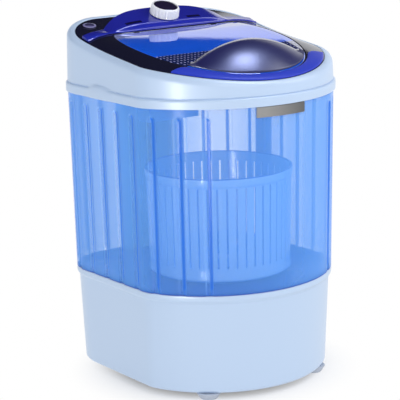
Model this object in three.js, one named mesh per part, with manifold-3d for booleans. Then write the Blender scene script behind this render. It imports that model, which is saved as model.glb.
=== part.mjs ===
// Compact top load washing machine: a clear wash tank between a white base and a white top shell,
// a slotted spin basket on a belt driven shaft, a clear lid with a raised grip, and a clockwork timer.
// Millimetres, +Z up, the front towards -Y. The origin is on the floor under the middle of the plan.
import * as THREE from 'three';
import { mergeVertices } from 'three/addons/utils/BufferGeometryUtils.js';
import Module from 'manifold-3d';

const wasm = await Module();
wasm.setup();

// ---------------------------------------------------------------- driving dimensions
// Plan of the body, measured at the lip of the top shell.
const bodyWidth = 323.6;
const bodyDepth = 344.6;
const frontBulge = 104;
const frontCornerRadius = 61.8;
const rearCornerRadius = 80.8;

// General clearances and walls.
const seatGap = 0.3;
const shellWall = 3;
const tankWall = 2.6;

// Heights of the three body parts.
const footHeight = 10.3;
const baseHeight = 138.7;
const tankHeight = 251;

// Base housing.
const baseLipHeight = 8;
const baseLipStep = 3.4;
const baseDraft = 5;
const baseBottomRound = 4;
const baseFlangeWidth = 12;

// Tank. Its wall leans outwards from its foot to its top.
const tankSetBack = 6.2;
const tankTopSetBack = 2.5;
const tankOverlap = 8;
const grooveWidth = 11;
const grooveDepth = 2;
const groovePitch = 37;
const groovesPerSide = 11;
const firstGrooveSetBack = 65.3;
const grooveTopDrop = 8;
const wellRadius = 80;
const wellDepth = 15.4;
const ductHalfWidth = 46;
const ductDepth = 20;

// Top shell. The rim rises from the front to the back in a soft S.
const shellLipHeight = 12;
const shellLipStep = 2.4;
const shellDraftPerRise = 0.018;
const shoulderShare = 0.92;
const shelfWidth = 5;
const shellLipRound = 1.5;
const rimInset = 9.9;
const rimInsetPerRise = 0.065;
const rimRound = 9;
const rimFrontRise = 28.3;
const rimMidRise = 57.8;
const rimRearRise = 98.5;
const rimMidSlope = 0.131;
const sideBumpLength = 72;
const sideBumpHeight = 19;
const sideBumpDepth = 3;
const sideBumpY = 29.5;
const plateWidth = 77;
const plateHeight = 14.2;
const plateX = -6;
const plateThickness = 1.5;
const plateBevel = 0.7;

// Lid.
const lidSideMargin = 41.1;
const lidFrontMargin = 30.3;
const lidOutlinePower = 2.15;
const hingeSetBack = 90.3;
const lidRise = 9.6;
const lidSlope = 0.156;
const lidBowRadius = 1500;
const lidThickness = 3;
const lidGap = 1.3;
const lidSeatGap = 0.6;
const hingeBarrelRadius = 3;
const hingePinRadius = 1.2;
const hingeLugX = 66;
const hingeLugWidth = 10;

// Grip hood on the lid.
const gripDepth = 56;
const gripSideMargin = 35.7;
const gripRise = 23;
const gripWall = 2.2;
const gripBase = 1.6;
const gripStripWidth = 1.8;

// Deck.
const deckWall = 2.6;
const deckCrown = 0.35;
const openingInset = 10;
const deckCollarDepth = 9;

// Blue trim and control panel on the deck.
const trimThickness = 1.8;
const trimInnerShare = 0.9;
const trimRimShare = 0.04;
const trimFlatAngle = 52;
const trimTipAngle = 36;
const consoleSideMargin = 17.7;
const consoleDepth = 52;
const consoleSweep = 27.3;
const consoleRise = 26.3;
const consoleEndRise = 4.6;
const consoleShoulderPower = 3.7;
const panelSeatGap = 0.62;
const consoleWallRise = 8.5;
const armSweep = 0.28;
const armFlare = 5;
const armRise = 2;

// Timer and knob.
const knobSetBack = 23.3;
const knobTilt = 19;
const knobRadius = 21;
const knobHeight = 13.6;
const knobFlutes = 20;
const knobCapRadius = 17;
const timerShaftRadius = 3;
const timerBodyRadius = 18;
const timerBodyHeight = 28;
const timerBoxDrop = 135;
const timerBoxWall = 2.2;

// Spin drive.
const spinY = -17.5;
const shaftRadius = 6;
const basketRimRadius = 103;
const basketBaseRadius = 98.5;
const basketHeight = 145.5;
const basketWall = 2.2;
const basketRimBand = 12;
const basketSlots = 48;
const slotWidth = 2.6;
const slotMargin = 21;
const drivePulleyRadius = 65.2;
const motorPulleyRadius = 14;
const pulleyHeight = 12;
const pulleyGrooveDepth = 3.5;
const beltThickness = 4;
const beltHeight = 6;
const motorSetBack = 77.3;
const motorRadius = 46;
const motorHeight = 78;
const motorMountRadius = 8;
const bearingRadius = 14.5;
const bearingHeight = 11;
const bearingHousingLength = 66;
const bearingWebLength = 40;
const capacitorRadius = 17;
const capacitorHeight = 58;

// Small fittings.
const inletRadius = 7.8;
const inletFlange = 1.6;
const inletFromSide = 53.3;
const inletFromBack = 39.8;
const footTopRadius = 17;
const footBottomRadius = 12;
const frontFootFromSide = 70.8;
const frontFootFromFront = 62.3;
const rearFootFromSide = 58.8;
const rearFootFromBack = 60.3;
const fittingFromSide = 69.8;
const drainFromBack = 80.3;
const drainRadius = 9;
const drainWall = 2;
const outletZ = 42;
const filterWidth = 25;
const filterDepth = 13;
const filterFromBack = 102.3;
const capacitorFromSide = 49.8;
const capacitorY = 10;

// ---------------------------------------------------------------- derived levels
const baseTop = footHeight + baseHeight;
const shellSeam = baseTop + tankHeight;
const tankTop = shellSeam + tankOverlap;
const halfDepth = bodyDepth / 2;
const halfWidth = bodyWidth / 2;
const lidHalfWidth = halfWidth - lidSideMargin;
const lidFrontReach = halfDepth - lidFrontMargin;
const hingeLine = halfDepth - hingeSetBack;
const gripLipY = gripDepth - lidFrontReach;
const gripHalfWidth = lidHalfWidth - gripSideMargin;
const consoleHalfWidth = lidHalfWidth - consoleSideMargin;
const motorY = halfDepth - motorSetBack;
const inletX = inletFromSide - halfWidth;
const inletY = halfDepth - inletFromBack;
const frontFootX = halfWidth - frontFootFromSide;
const frontFootY = frontFootFromFront - halfDepth;
const rearFootX = halfWidth - rearFootFromSide;
const rearFootY = halfDepth - rearFootFromBack;
const drainX = fittingFromSide - halfWidth;
const drainY = halfDepth - drainFromBack;
const glandX = halfWidth - fittingFromSide;
const filterY = halfDepth - filterFromBack;
const capacitorX = halfWidth - capacitorFromSide;
const bottomCoverTop = footHeight + shellWall;
const wellFloorTop = baseTop - wellDepth;
const wellFloorBottom = wellFloorTop - tankWall;
const pulleyBottom = bottomCoverTop + 6;
const pulleyMiddle = pulleyBottom + pulleyHeight / 2;
const bracketBottom = pulleyBottom + pulleyHeight + 6;
const basketBottom = baseTop + 1.5;
const basketTop = basketBottom + basketHeight;
const knobY = hingeLine + knobSetBack;
const hingeY = hingeLine - hingeBarrelRadius - 0.4;

// ---------------------------------------------------------------- geometry helpers
const degrees = THREE.MathUtils.degToRad;
const lerp = THREE.MathUtils.lerp;
const clamp = THREE.MathUtils.clamp;
const smooth = (t) => THREE.MathUtils.smoothstep(t, 0, 1);

// One closed mesh from points and triangles: equal points merged, slivers dropped, faces outward.
function closedBody(positions, indices) {
  let geometry = new THREE.BufferGeometry();
  geometry.setAttribute('position', new THREE.Float32BufferAttribute(positions, 3));
  geometry.setIndex(indices);
  geometry = mergeVertices(geometry, 1e-4);
  const index = Array.from(geometry.index.array);
  const point = geometry.attributes.position;
  const a = new THREE.Vector3();
  const b = new THREE.Vector3();
  const c = new THREE.Vector3();
  const kept = [];
  let volume = 0;
  for (let i = 0; i < index.length; i += 3) {
    const [p, q, r] = [index[i], index[i + 1], index[i + 2]];
    if (p === q || q === r || r === p) continue;
    kept.push(p, q, r);
    a.fromBufferAttribute(point, p);
    b.fromBufferAttribute(point, q);
    c.fromBufferAttribute(point, r);
    volume += a.dot(b.cross(c));
  }
  if (volume < 0) kept.reverse();
  geometry.setIndex(kept);
  return geometry;
}

// The same clean-up for a geometry made by a three.js class.
function cleaned(geometry) {
  const plain = geometry.clone();
  plain.deleteAttribute('normal');
  plain.deleteAttribute('uv');
  const count = plain.attributes.position.count;
  const index = plain.index ? Array.from(plain.index.array) : Array.from({ length: count }, (_, i) => i);
  return closedBody(Array.from(plain.attributes.position.array), index);
}

function toSolid(geometry) {
  const body = cleaned(geometry);
  return new wasm.Manifold(new wasm.Mesh({
    numProp: 3,
    vertProperties: new Float32Array(body.attributes.position.array),
    triVerts: new Uint32Array(body.index.array),
  }));
}

function toGeometry(solid) {
  const mesh = solid.getMesh();
  const geometry = new THREE.BufferGeometry();
  geometry.setAttribute('position', new THREE.Float32BufferAttribute(Array.from(mesh.vertProperties), 3));
  geometry.setIndex(Array.from(mesh.triVerts));
  return geometry;
}

function joined(first, ...others) {
  return toGeometry(others.reduce((sum, other) => sum.add(toSolid(other)), toSolid(first)));
}

function cut(body, ...cutters) {
  return toGeometry(cutters.reduce((rest, cutter) => rest.subtract(toSolid(cutter)), toSolid(body)));
}

// Skins a row of sections with equal point counts. A looped row closes on itself like a ring,
// any other row gets a flat fan at each end.
function loft(sections, looped = false) {
  const count = sections[0].length;
  const positions = sections.flat().flatMap((p) => [p.x, p.y, p.z]);
  const indices = [];
  const bands = looped ? sections.length : sections.length - 1;
  for (let i = 0; i < bands; i += 1) {
    const here = i * count;
    const next = ((i + 1) % sections.length) * count;
    for (let j = 0; j < count; j += 1) {
      const k = (j + 1) % count;
      indices.push(here + j, here + k, next + k, here + j, next + k, next + j);
    }
  }
  if (!looped) {
    addFan(positions, indices, sections[0], 0, true);
    addFan(positions, indices, sections.at(-1), (sections.length - 1) * count, false);
  }
  return closedBody(positions, indices);
}

function addFan(positions, indices, section, start, reversed) {
  const middle = section.reduce((sum, p) => sum.add(p), new THREE.Vector3()).divideScalar(section.length);
  const hub = positions.length / 3;
  positions.push(middle.x, middle.y, middle.z);
  for (let j = 0; j < section.length; j += 1) {
    const k = (j + 1) % section.length;
    if (reversed) indices.push(hub, start + k, start + j);
    else indices.push(hub, start + j, start + k);
  }
}

// Turns a profile of [radius, height] pairs about Z.
function revolved(profile, segments, x = 0, y = 0) {
  const points = profile.map(([radius, height]) => new THREE.Vector2(radius, height));
  const geometry = new THREE.LatheGeometry(points, segments);
  geometry.rotateX(Math.PI / 2);
  geometry.translate(x, y, 0);
  return cleaned(geometry);
}

function disc(radius, low, high, segments, x = 0, y = 0) {
  return revolved([[0, low], [radius, low], [radius, high], [0, high]], segments, x, y);
}

function ring(inner, outer, low, high, segments, x = 0, y = 0) {
  return revolved([[inner, low], [outer, low], [outer, high], [inner, high], [inner, low]], segments, x, y);
}

function box(low, high) {
  const geometry = new THREE.BoxGeometry(high[0] - low[0], high[1] - low[1], high[2] - low[2]);
  geometry.translate((low[0] + high[0]) / 2, (low[1] + high[1]) / 2, (low[2] + high[2]) / 2);
  return geometry;
}

// Extrudes a plan outline of [x, y] points from one height to another.
function prism(points, low, high) {
  const shape = new THREE.Shape(points.map(([x, y]) => new THREE.Vector2(x, y)));
  const geometry = new THREE.ExtrudeGeometry(shape, { depth: high - low, bevelEnabled: false });
  geometry.translate(0, 0, low);
  return cleaned(geometry);
}

// A round rod along X or Y.
function rodAlongX(radius, from, to, y, z, segments) {
  const geometry = new THREE.CylinderGeometry(radius, radius, to - from, segments);
  geometry.rotateZ(Math.PI / 2);
  geometry.translate((from + to) / 2, y, z);
  return cleaned(geometry);
}

function rodAlongY(radius, from, to, x, z, segments) {
  const geometry = new THREE.CylinderGeometry(radius, radius, to - from, segments);
  geometry.translate(x, (from + to) / 2, z);
  return cleaned(geometry);
}

// ---------------------------------------------------------------- plan outlines
// Points along an arc, without its last point.
function arcPoints(cx, cy, radius, from, to, steps) {
  return Array.from({ length: steps }, (_, i) => {
    const angle = lerp(from, to, i / steps);
    return [cx + radius * Math.cos(angle), cy + radius * Math.sin(angle)];
  });
}

// Body outline at an inset: bowed front, round corners, straight sides and back, counter-clockwise
// from the middle of the front. detail multiplies the number of points.
function bodyOutline(inset, detail = 1) {
  const half = halfWidth - inset;
  const front = -halfDepth + inset;
  const back = halfDepth - inset;
  const bow = (half * half + frontBulge * frontBulge) / (2 * frontBulge);
  const frontCorner = frontCornerRadius - inset;
  const rearCorner = rearCornerRadius - inset;
  const cornerX = half - frontCorner;
  const bowY = front + bow;
  const cornerY = bowY - Math.sqrt((bow - frontCorner) ** 2 - cornerX ** 2);
  const tangent = Math.atan2(cornerY - bowY, cornerX);
  const rearX = half - rearCorner;
  const rearY = back - rearCorner;
  const sideSteps = 2 * detail;
  const side = Array.from({ length: sideSteps }, (_, i) => [half, lerp(cornerY, rearY, i / sideSteps)]);
  const right = [
    ...arcPoints(0, bowY, bow, -Math.PI / 2, tangent, 6 * detail),
    ...arcPoints(cornerX, cornerY, frontCorner, tangent, 0, 3 * detail),
    ...side,
    ...arcPoints(rearX, rearY, rearCorner, 0, Math.PI / 2, 5 * detail),
    [rearX, back],
  ];
  const left = right.slice(1).reverse().map(([x, y]) => [-x, y]);
  return [...right, [0, back], ...left];
}

// Depth of the bowed front at a distance from the middle and an inset.
function frontY(x, inset) {
  const half = halfWidth - inset;
  const bow = (half * half + frontBulge * frontBulge) / (2 * frontBulge);
  return inset - halfDepth + bow - Math.sqrt(bow * bow - x * x);
}

function bodyRing(inset, height) {
  return bodyOutline(inset).map(([x, y]) => new THREE.Vector3(x, y, height));
}

// Distance from the origin to an outline in a given direction.
function reach(outline, angle) {
  const dx = Math.cos(angle);
  const dy = Math.sin(angle);
  for (let i = 0; i < outline.length; i += 1) {
    const [ax, ay] = outline[i];
    const [bx, by] = outline[(i + 1) % outline.length];
    const sideA = dx * ay - dy * ax;
    const sideB = dx * by - dy * bx;
    if (sideA > 0 || sideB <= 0) continue;
    const share = sideA / (sideA - sideB);
    const x = lerp(ax, bx, share);
    const y = lerp(ay, by, share);
    if (x * dx + y * dy > 0) return x * dx + y * dy;
  }
  return 0;
}

// Height of the top shell's rim along the machine's depth.
function rimHeight(y) {
  const u = y / halfDepth;
  const slope = rimMidSlope * halfDepth;
  const even = (rimFrontRise + rimRearRise) / 2 - rimMidRise;
  const odd = (rimRearRise - rimFrontRise) / 2 - slope;
  return shellSeam + rimMidRise + slope * u + even * u * u + odd * u ** 3;
}

// Ring near the rim. share runs from the outer wall to the deck's edge across the round shoulder,
// both of which draw in as the rim rises. drop lowers the ring, extra moves it further in.
function rimRing(share, drop, extra = 0) {
  return bodyOutline(0).map(([, y], i) => {
    const rise = rimHeight(y) - shellSeam;
    const wall = shellLipStep + shellDraftPerRise * rise;
    const inset = lerp(wall, rimInset + rimInsetPerRise * rise, share) + extra;
    const [x, rimY] = bodyOutline(inset)[i];
    return new THREE.Vector3(x, rimY, rimHeight(rimY) - drop);
  });
}

// A ring of the round shoulder, at an angle from the outer wall to the top.
function shoulderRing(angle) {
  return rimRing(shoulderShare * (1 - Math.cos(degrees(angle))), rimRound * (1 - Math.sin(degrees(angle))));
}

// Height of the lid's top face.
function lidHeight(y) {
  return shellSeam + rimMidRise + lidRise + lidSlope * y - (y * y) / (2 * lidBowRadius);
}

// Lid outline in a direction: a soft oval cut straight at the hinge line. grow is an offset outwards.
function lidReach(angle, grow, rearGrow = grow) {
  const c = Math.abs(Math.cos(angle)) / (lidHalfWidth + grow);
  const s = Math.abs(Math.sin(angle)) / (lidFrontReach + grow);
  const oval = (c ** lidOutlinePower + s ** lidOutlinePower) ** (-1 / lidOutlinePower);
  const rear = Math.sin(angle) > 0 ? (hingeLine + rearGrow) / Math.sin(angle) : Infinity;
  return Math.min(oval, rear);
}

// ---------------------------------------------------------------- deck surface
const deckEdge = rimRing(1, 0.4, seatGap);
const deckEdgePlan = deckEdge.map((p) => [p.x, p.y]);
const lidCorner = Math.atan2(hingeLine, lidHalfWidth * (1 - (hingeLine / lidFrontReach) ** lidOutlinePower)
  ** (1 / lidOutlinePower));
const openingRear = hingeLine + lidGap;
const openingCornerX = (lidHalfWidth - openingInset)
  * (1 - (openingRear / (lidFrontReach - openingInset)) ** lidOutlinePower) ** (1 / lidOutlinePower);
const openingCorner = Math.atan2(openingRear, openingCornerX);
const deckAngles = deckEdgePlan.map(([x, y]) => Math.atan2(y, x))
  .concat([lidCorner, Math.PI - lidCorner, openingCorner, Math.PI - openingCorner])
  .sort((a, b) => a - b);

// Point of the deck's top at a direction and a share of the way from the rim to the lid.
function deckPoint(angle, share, lower = 0) {
  const outer = reach(deckEdgePlan, angle);
  const inner = lidReach(angle, lidGap);
  const radius = lerp(outer, inner, share);
  const rimZ = rimHeight(outer * Math.sin(angle)) - 0.4;
  const lidZ = lidHeight(inner * Math.sin(angle)) - 0.2;
  const eased = share + deckCrown * share * (1 - share);
  return new THREE.Vector3(
    radius * Math.cos(angle),
    radius * Math.sin(angle),
    lerp(rimZ, lidZ, eased) - lower,
  );
}

function deckHeight(x, y) {
  const angle = Math.atan2(y, x);
  const outer = reach(deckEdgePlan, angle);
  const inner = lidReach(angle, lidGap);
  const share = clamp((outer - Math.hypot(x, y)) / (outer - inner), 0, 1);
  return deckPoint(angle, share).z;
}

// Ring around the lid at an offset from its outline and a drop below its top face.
function lidRing(grow, rearGrow, drop) {
  return deckAngles.map((angle) => {
    const radius = lidReach(angle, grow, rearGrow);
    const y = radius * Math.sin(angle);
    return new THREE.Vector3(radius * Math.cos(angle), y, lidHeight(y) - drop);
  });
}

// The water inlet's place on the deck, square to the deck's slope there.
const inletPlace = new THREE.Vector3(inletX, inletY, deckHeight(inletX, inletY));
const inletTilt = new THREE.Quaternion().setFromUnitVectors(new THREE.Vector3(0, 0, 1), deckNormal(inletX, inletY));

function deckNormal(x, y) {
  const step = 6;
  const slopeX = (deckHeight(x + step, y) - deckHeight(x - step, y)) / (2 * step);
  const slopeY = (deckHeight(x, y + step) - deckHeight(x, y - step)) / (2 * step);
  return new THREE.Vector3(-slopeX, -slopeY, 1).normalize();
}

function inletAxisBody(geometry) {
  return geometry.applyQuaternion(inletTilt).translate(inletPlace.x, inletPlace.y, inletPlace.z);
}

// ---------------------------------------------------------------- scene
const machine = new THREE.Group();
machine.name = 'washing_machine';

function part(name, geometry, colour, roughness, metalness = 0, parent = machine) {
  const material = new THREE.MeshStandardMaterial({ color: colour, roughness, metalness });
  const mesh = new THREE.Mesh(geometry, material);
  mesh.name = name;
  parent.add(mesh);
  return mesh;
}

const white = 0xd3e2f2;
const tankBlue = 0x7fb4ef;
const panelBlue = 0x2430a0;
const black = 0x16121f;
const steel = 0x9a9c9e;
const rubber = 0x2a2a2c;
const grey = 0x6f7276;

// ---------------------------------------------------------------- base
const baseLipInset = tankSetBack;
const baseWallInset = baseLipInset + baseLipStep;
const baseFootInset = baseWallInset + baseDraft;
const skirtInset = baseLipInset + shellWall + seatGap;

function buildBaseHousing() {
  const lipBottom = baseTop - baseLipHeight;
  const roundTop = footHeight + baseBottomRound;
  const shell = loft([
    bodyRing(baseFootInset + baseFlangeWidth, footHeight),
    bodyRing(baseFootInset + baseBottomRound, footHeight),
    bodyRing(baseFootInset + baseBottomRound * 0.3, footHeight + baseBottomRound * 0.3),
    bodyRing(baseFootInset, roundTop),
    bodyRing(baseWallInset, lipBottom - baseLipStep),
    bodyRing(baseLipInset, lipBottom),
    bodyRing(baseLipInset, baseTop),
    bodyRing(baseLipInset + shellWall, baseTop),
    bodyRing(baseLipInset + shellWall, lipBottom),
    bodyRing(baseWallInset + shellWall, lipBottom - baseLipStep),
    bodyRing(baseFootInset + shellWall, roundTop),
    bodyRing(baseFootInset + baseFlangeWidth, footHeight + shellWall),
  ], true);
  const back = halfDepth;
  const outletHole = rodAlongY(drainRadius + seatGap, back - 40, back, drainX, outletZ, 14);
  const glandHole = rodAlongY(glandBore + seatGap, back - 40, back, glandX, outletZ, 12);
  return cut(shell, outletHole, glandHole, ...ventSlots());
}

const glandBore = 7;
const ventCount = 9;
const ventPitch = 8;
const ventWidth = 3.4;
const ventHeight = 36;
const ventRise = 50;

// Upright air slots through the back of the base, behind the motor.
function ventSlots() {
  const low = footHeight + ventRise;
  return Array.from({ length: ventCount }, (_, i) => {
    const x = (i - (ventCount - 1) / 2) * ventPitch;
    return box([x - ventWidth / 2, halfDepth - 40, low], [x + ventWidth / 2, halfDepth, low + ventHeight]);
  });
}

function buildBottomCover() {
  const edge = baseFootInset + baseFlangeWidth + seatGap;
  const ribHeight = 3;
  const plate = loft([bodyRing(edge, footHeight), bodyRing(edge, bottomCoverTop)]);
  const ribs = ring(drivePulleyRadius + 8, drivePulleyRadius + 11, footHeight + 1, bottomCoverTop + ribHeight, 24, 0, spinY);
  const slots = [-2, -1, 1, 2].map((i) => box(
    [i * 14 - 2, motorY - 24, footHeight - 1],
    [i * 14 + 2, motorY + 24, bottomCoverTop + 1],
  ));
  return cut(joined(plate, ribs), ...slots);
}

function buildFoot() {
  const lip = 1.2;
  return revolved([
    [0, 0],
    [footBottomRadius - lip, 0],
    [footBottomRadius, lip],
    [footTopRadius, footHeight - lip - seatGap],
    [footTopRadius - lip, footHeight - seatGap],
    [0, footHeight - seatGap],
  ], 12);
}

part('base_housing', buildBaseHousing(), white, 0.35);
part('bottom_cover', buildBottomCover(), grey, 0.6);
const feet = [
  ['foot_front_left', -frontFootX, frontFootY],
  ['foot_front_right', frontFootX, frontFootY],
  ['foot_rear_left', -rearFootX, rearFootY],
  ['foot_rear_right', rearFootX, rearFootY],
];
feet.forEach(([name, x, y]) => part(name, buildFoot(), 0xc9ced6, 0.7).position.set(x, y, 0));

// ---------------------------------------------------------------- tank
const tankSkirtDepth = baseLipHeight - 1;
const channelFront = halfDepth - tankSetBack - ductDepth;
const tankFloor = baseTop - tankWall;
const tankLean = (tankSetBack - tankTopSetBack) / tankHeight;
const gasketHeight = 1.4;
const gasketTop = tankTop + seatGap + gasketHeight;

// Set-back of the tank's outer face at a height.
function tankInset(z) {
  return lerp(tankSetBack, tankTopSetBack, clamp((z - baseTop) / tankHeight, 0, 1));
}

// Leans an upright body outwards in a plan direction, as the tank's wall leans.
function leaned(geometry, nx, ny) {
  return geometry.applyMatrix4(new THREE.Matrix4().set(
    1, 0, tankLean * nx, -tankLean * nx * baseTop,
    0, 1, tankLean * ny, -tankLean * ny * baseTop,
    0, 0, 1, 0,
    0, 0, 0, 1,
  ));
}

// Middle points of the grooves: even steps along the outline, from the rear of each side to the front.
function groovePlaces(inset) {
  const outline = bodyOutline(inset, 8);
  const lengths = [0];
  for (let i = 1; i < outline.length; i += 1) {
    const step = Math.hypot(outline[i][0] - outline[i - 1][0], outline[i][1] - outline[i - 1][1]);
    lengths.push(lengths[i - 1] + step);
  }
  const sideIndex = outline.findIndex(([x, y]) => x > 0 && y >= halfDepth - firstGrooveSetBack);
  const rearEnd = lengths[sideIndex] + 3 * groovePitch;
  const places = [];
  for (let n = 0; n < groovesPerSide; n += 1) {
    const target = rearEnd - n * groovePitch;
    const i = lengths.findIndex((length) => length >= target);
    const [ax, ay] = outline[i - 1];
    const [bx, by] = outline[i];
    const share = (target - lengths[i - 1]) / (lengths[i] - lengths[i - 1]);
    const step = Math.hypot(bx - ax, by - ay);
    const normal = [(by - ay) / step, -(bx - ax) / step];
    const place = { x: lerp(ax, bx, share), y: lerp(ay, by, share), nx: normal[0], ny: normal[1] };
    places.push(place, { ...place, x: -place.x, nx: -place.nx });
  }
  return places;
}

// Round ended upright cutters for the grooves, grown by a wall for the ridges inside.
function grooveCutters(grow) {
  const radius = (grooveWidth ** 2 / 4 + grooveDepth ** 2) / (2 * grooveDepth);
  const low = baseTop - tankSkirtDepth - 2;
  const high = shellSeam - grooveTopDrop - radius;
  return groovePlaces(tankSetBack).map(({ x, y, nx, ny }) => {
    const out = radius - grooveDepth;
    const size = radius + grow;
    const profile = [[0, low], [size, low], [size, high], [size * 0.8, high + size * 0.6], [0, high + size]];
    const cutter = revolved(profile, 12);
    cutter.rotateZ(Math.atan2(ny, nx));
    cutter.translate(x + nx * out, y + ny * out, 0);
    return leaned(cutter, nx, ny);
  });
}

function buildTank() {
  const skirtBottom = baseTop - tankSkirtDepth;
  const flange = baseTop + seatGap;
  const wall = toSolid(loft([
    bodyRing(skirtInset, skirtBottom),
    bodyRing(skirtInset, flange),
    bodyRing(tankSetBack, flange),
    bodyRing(tankTopSetBack, shellSeam),
    bodyRing(tankTopSetBack, tankTop),
  ]));
  const well = toSolid(disc(wellRadius + tankWall, wellFloorBottom, baseTop, 32, 0, spinY));
  const underside = toSolid(loft([
    bodyRing(skirtInset + tankWall, skirtBottom - 1),
    bodyRing(skirtInset + tankWall, tankFloor),
  ]));
  const water = toSolid(loft([
    bodyRing(tankSetBack + tankWall, baseTop),
    bodyRing(tankTopSetBack + tankWall, shellSeam),
    bodyRing(tankTopSetBack + tankWall, tankTop + 1),
  ]));
  const wellWater = toSolid(disc(wellRadius, wellFloorTop, baseTop + 1, 32, 0, spinY));
  const back = halfDepth + 1;
  const channelWall = toSolid(box(
    [-ductHalfWidth - tankWall, channelFront - tankWall, skirtBottom],
    [ductHalfWidth + tankWall, back, tankTop + 2],
  ));
  const channel = toSolid(box([-ductHalfWidth, channelFront, skirtBottom - 2], [ductHalfWidth, back, tankTop + 2]));
  const ridges = grooveCutters(tankWall).map(toSolid);
  const grooves = grooveCutters(0).map(toSolid);
  const hole = toSolid(disc(sealRadius + seatGap, wellFloorBottom - 1, wellFloorTop + 1, 16, 0, spinY));
  const drain = toSolid(disc(drainRadius - drainWall, tankFloor - 1, baseTop + 1, 12, drainX, drainY));
  const space = ridges.reduce((rest, ridge) => rest.subtract(ridge), water.subtract(channelWall));
  const body = wall.subtract(underside).add(well).subtract(wellWater).subtract(space).subtract(channel);
  const fluted = grooves.reduce((rest, groove) => rest.subtract(groove), body);
  return toGeometry(fluted.subtract(hole).subtract(drain));
}

const sealRadius = 11;
part('wash_tank', buildTank(), tankBlue, 0.15);

// U-shaped cover that closes the wiring channel at the back of the tank.
function buildRearDuct() {
  const outer = halfDepth - tankSetBack;
  const half = ductHalfWidth - seatGap;
  const flangeDepth = 12;
  const points = [
    [-half, outer - flangeDepth],
    [-half + shellWall, outer - flangeDepth],
    [-half + shellWall, outer - shellWall],
    [half - shellWall, outer - shellWall],
    [half - shellWall, outer - flangeDepth],
    [half, outer - flangeDepth],
    [half, outer],
    [-half, outer],
  ];
  const low = baseTop + seatGap;
  const leaning = leaned(prism(points, low, shellSeam), 0, 1);
  const top = prism(points, shellSeam - seatGap, tankTop).translate(0, tankSetBack - tankTopSetBack, 0);
  return joined(leaning, top);
}

part('rear_duct_cover', buildRearDuct(), white, 0.35);

// Overflow and lint duct on the right wall: a box with two round front corners and slots near its top.
function buildFilter() {
  const back = halfWidth - tankSetBack - tankWall - grooveDepth - seatGap;
  const low = baseTop + seatGap;
  const high = shellSeam - 14;
  const half = filterWidth / 2;
  const wall = 1.8;
  const corner = 5;
  const cornerX = back - filterDepth + corner;
  const outline = (shrink) => [
    [back - shrink, filterY + half - shrink],
    ...arcPoints(cornerX, filterY + half - corner, corner - shrink, Math.PI / 2, Math.PI, 5),
    ...arcPoints(cornerX, filterY - half + corner, corner - shrink, Math.PI, 1.5 * Math.PI, 5),
    [cornerX, filterY - half + shrink],
    [back - shrink, filterY - half + shrink],
  ];
  const duct = cut(prism(outline(0), low, high), prism(outline(wall), low + wall, high + 1));
  const slots = Array.from({ length: 6 }, (_, i) => box(
    [back - filterDepth - 1, filterY - half / 2, high - 16 - i * 8],
    [back - filterDepth + wall * 2, filterY + half / 2, high - 13 - i * 8],
  ));
  return leaned(cut(duct, ...slots), 1, 0);
}

part('overflow_filter', buildFilter(), 0x4f86d8, 0.3);

// Bundle of wires from the base up to the timer, strapped to the front wall of the channel.
function buildLoom() {
  const wire = 4;
  const strap = 6;
  const low = outletZ + 30;
  const high = shellSeam + 30;
  const profile = [[0, low], [wire, low]];
  const straps = 4;
  for (let i = 0; i < straps; i += 1) {
    const z = lerp(baseTop + 20, shellSeam - 20, i / (straps - 1));
    profile.push([wire, z], [strap, z], [strap, z + 5], [wire, z + 5]);
  }
  profile.push([wire, high], [0, high]);
  return revolved(profile, 8, 0, channelFront + strap + seatGap);
}

part('wiring_loom', buildLoom(), 0x1f2024, 0.7);

function buildGasket() {
  const inner = tankTopSetBack + tankWall;
  const outer = tankTopSetBack + seatGap;
  return loft([
    bodyRing(outer, tankTop + seatGap),
    bodyRing(inner, tankTop + seatGap),
    bodyRing(inner, gasketTop),
    bodyRing(outer, gasketTop),
  ], true);
}

part('tank_gasket', buildGasket(), rubber, 0.8);

// ---------------------------------------------------------------- drain and cord gland
// Elbow from the tank's drain hole down and back to the outlet.
function buildDrainElbow() {
  const bend = 22;
  const end = outletInner - seatGap;
  const low = tankFloor - seatGap;
  const path = new THREE.CurvePath();
  const corner = new THREE.Vector3(drainX, drainY, outletZ);
  const above = new THREE.Vector3(drainX, drainY, outletZ + bend);
  const beyond = new THREE.Vector3(drainX, drainY + bend, outletZ);
  path.add(new THREE.LineCurve3(new THREE.Vector3(drainX, drainY, low), above));
  path.add(new THREE.QuadraticBezierCurve3(above, corner, beyond));
  path.add(new THREE.LineCurve3(beyond, new THREE.Vector3(drainX, end, outletZ)));
  const tube = (radius) => {
    const shape = new THREE.Shape(arcPoints(0, 0, radius, 0, 2 * Math.PI, 8).map(([x, y]) => new THREE.Vector2(x, y)));
    return new THREE.ExtrudeGeometry(shape, { steps: 9, extrudePath: path, bevelEnabled: false });
  };
  return cut(tube(drainRadius), tube(drainRadius - drainWall));
}

const baseBackInset = baseFootInset - (baseDraft * (outletZ - footHeight)) / baseHeight;
const outletInner = halfDepth - baseBackInset - shellWall - 6;

function buildDrainOutlet() {
  const wallBack = halfDepth - baseBackInset;
  const profile = [
    [drainRadius - drainWall, outletInner],
    [drainRadius, outletInner],
    [drainRadius, wallBack + seatGap + 1],
    [drainRadius + 3, wallBack + seatGap + 1],
    [drainRadius + 3, wallBack + 3],
    [drainRadius - 0.5, wallBack + 3],
    [drainRadius - 0.5, halfDepth - 4],
    [drainRadius + 0.5, halfDepth - 2.5],
    [drainRadius - 1, halfDepth - 0.5],
    [drainRadius - drainWall, halfDepth - 0.5],
    [drainRadius - drainWall, outletInner],
  ];
  const spout = revolved(profile, 14);
  spout.rotateX(-Math.PI / 2);
  spout.translate(drainX, 0, outletZ);
  return spout;
}

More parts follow.
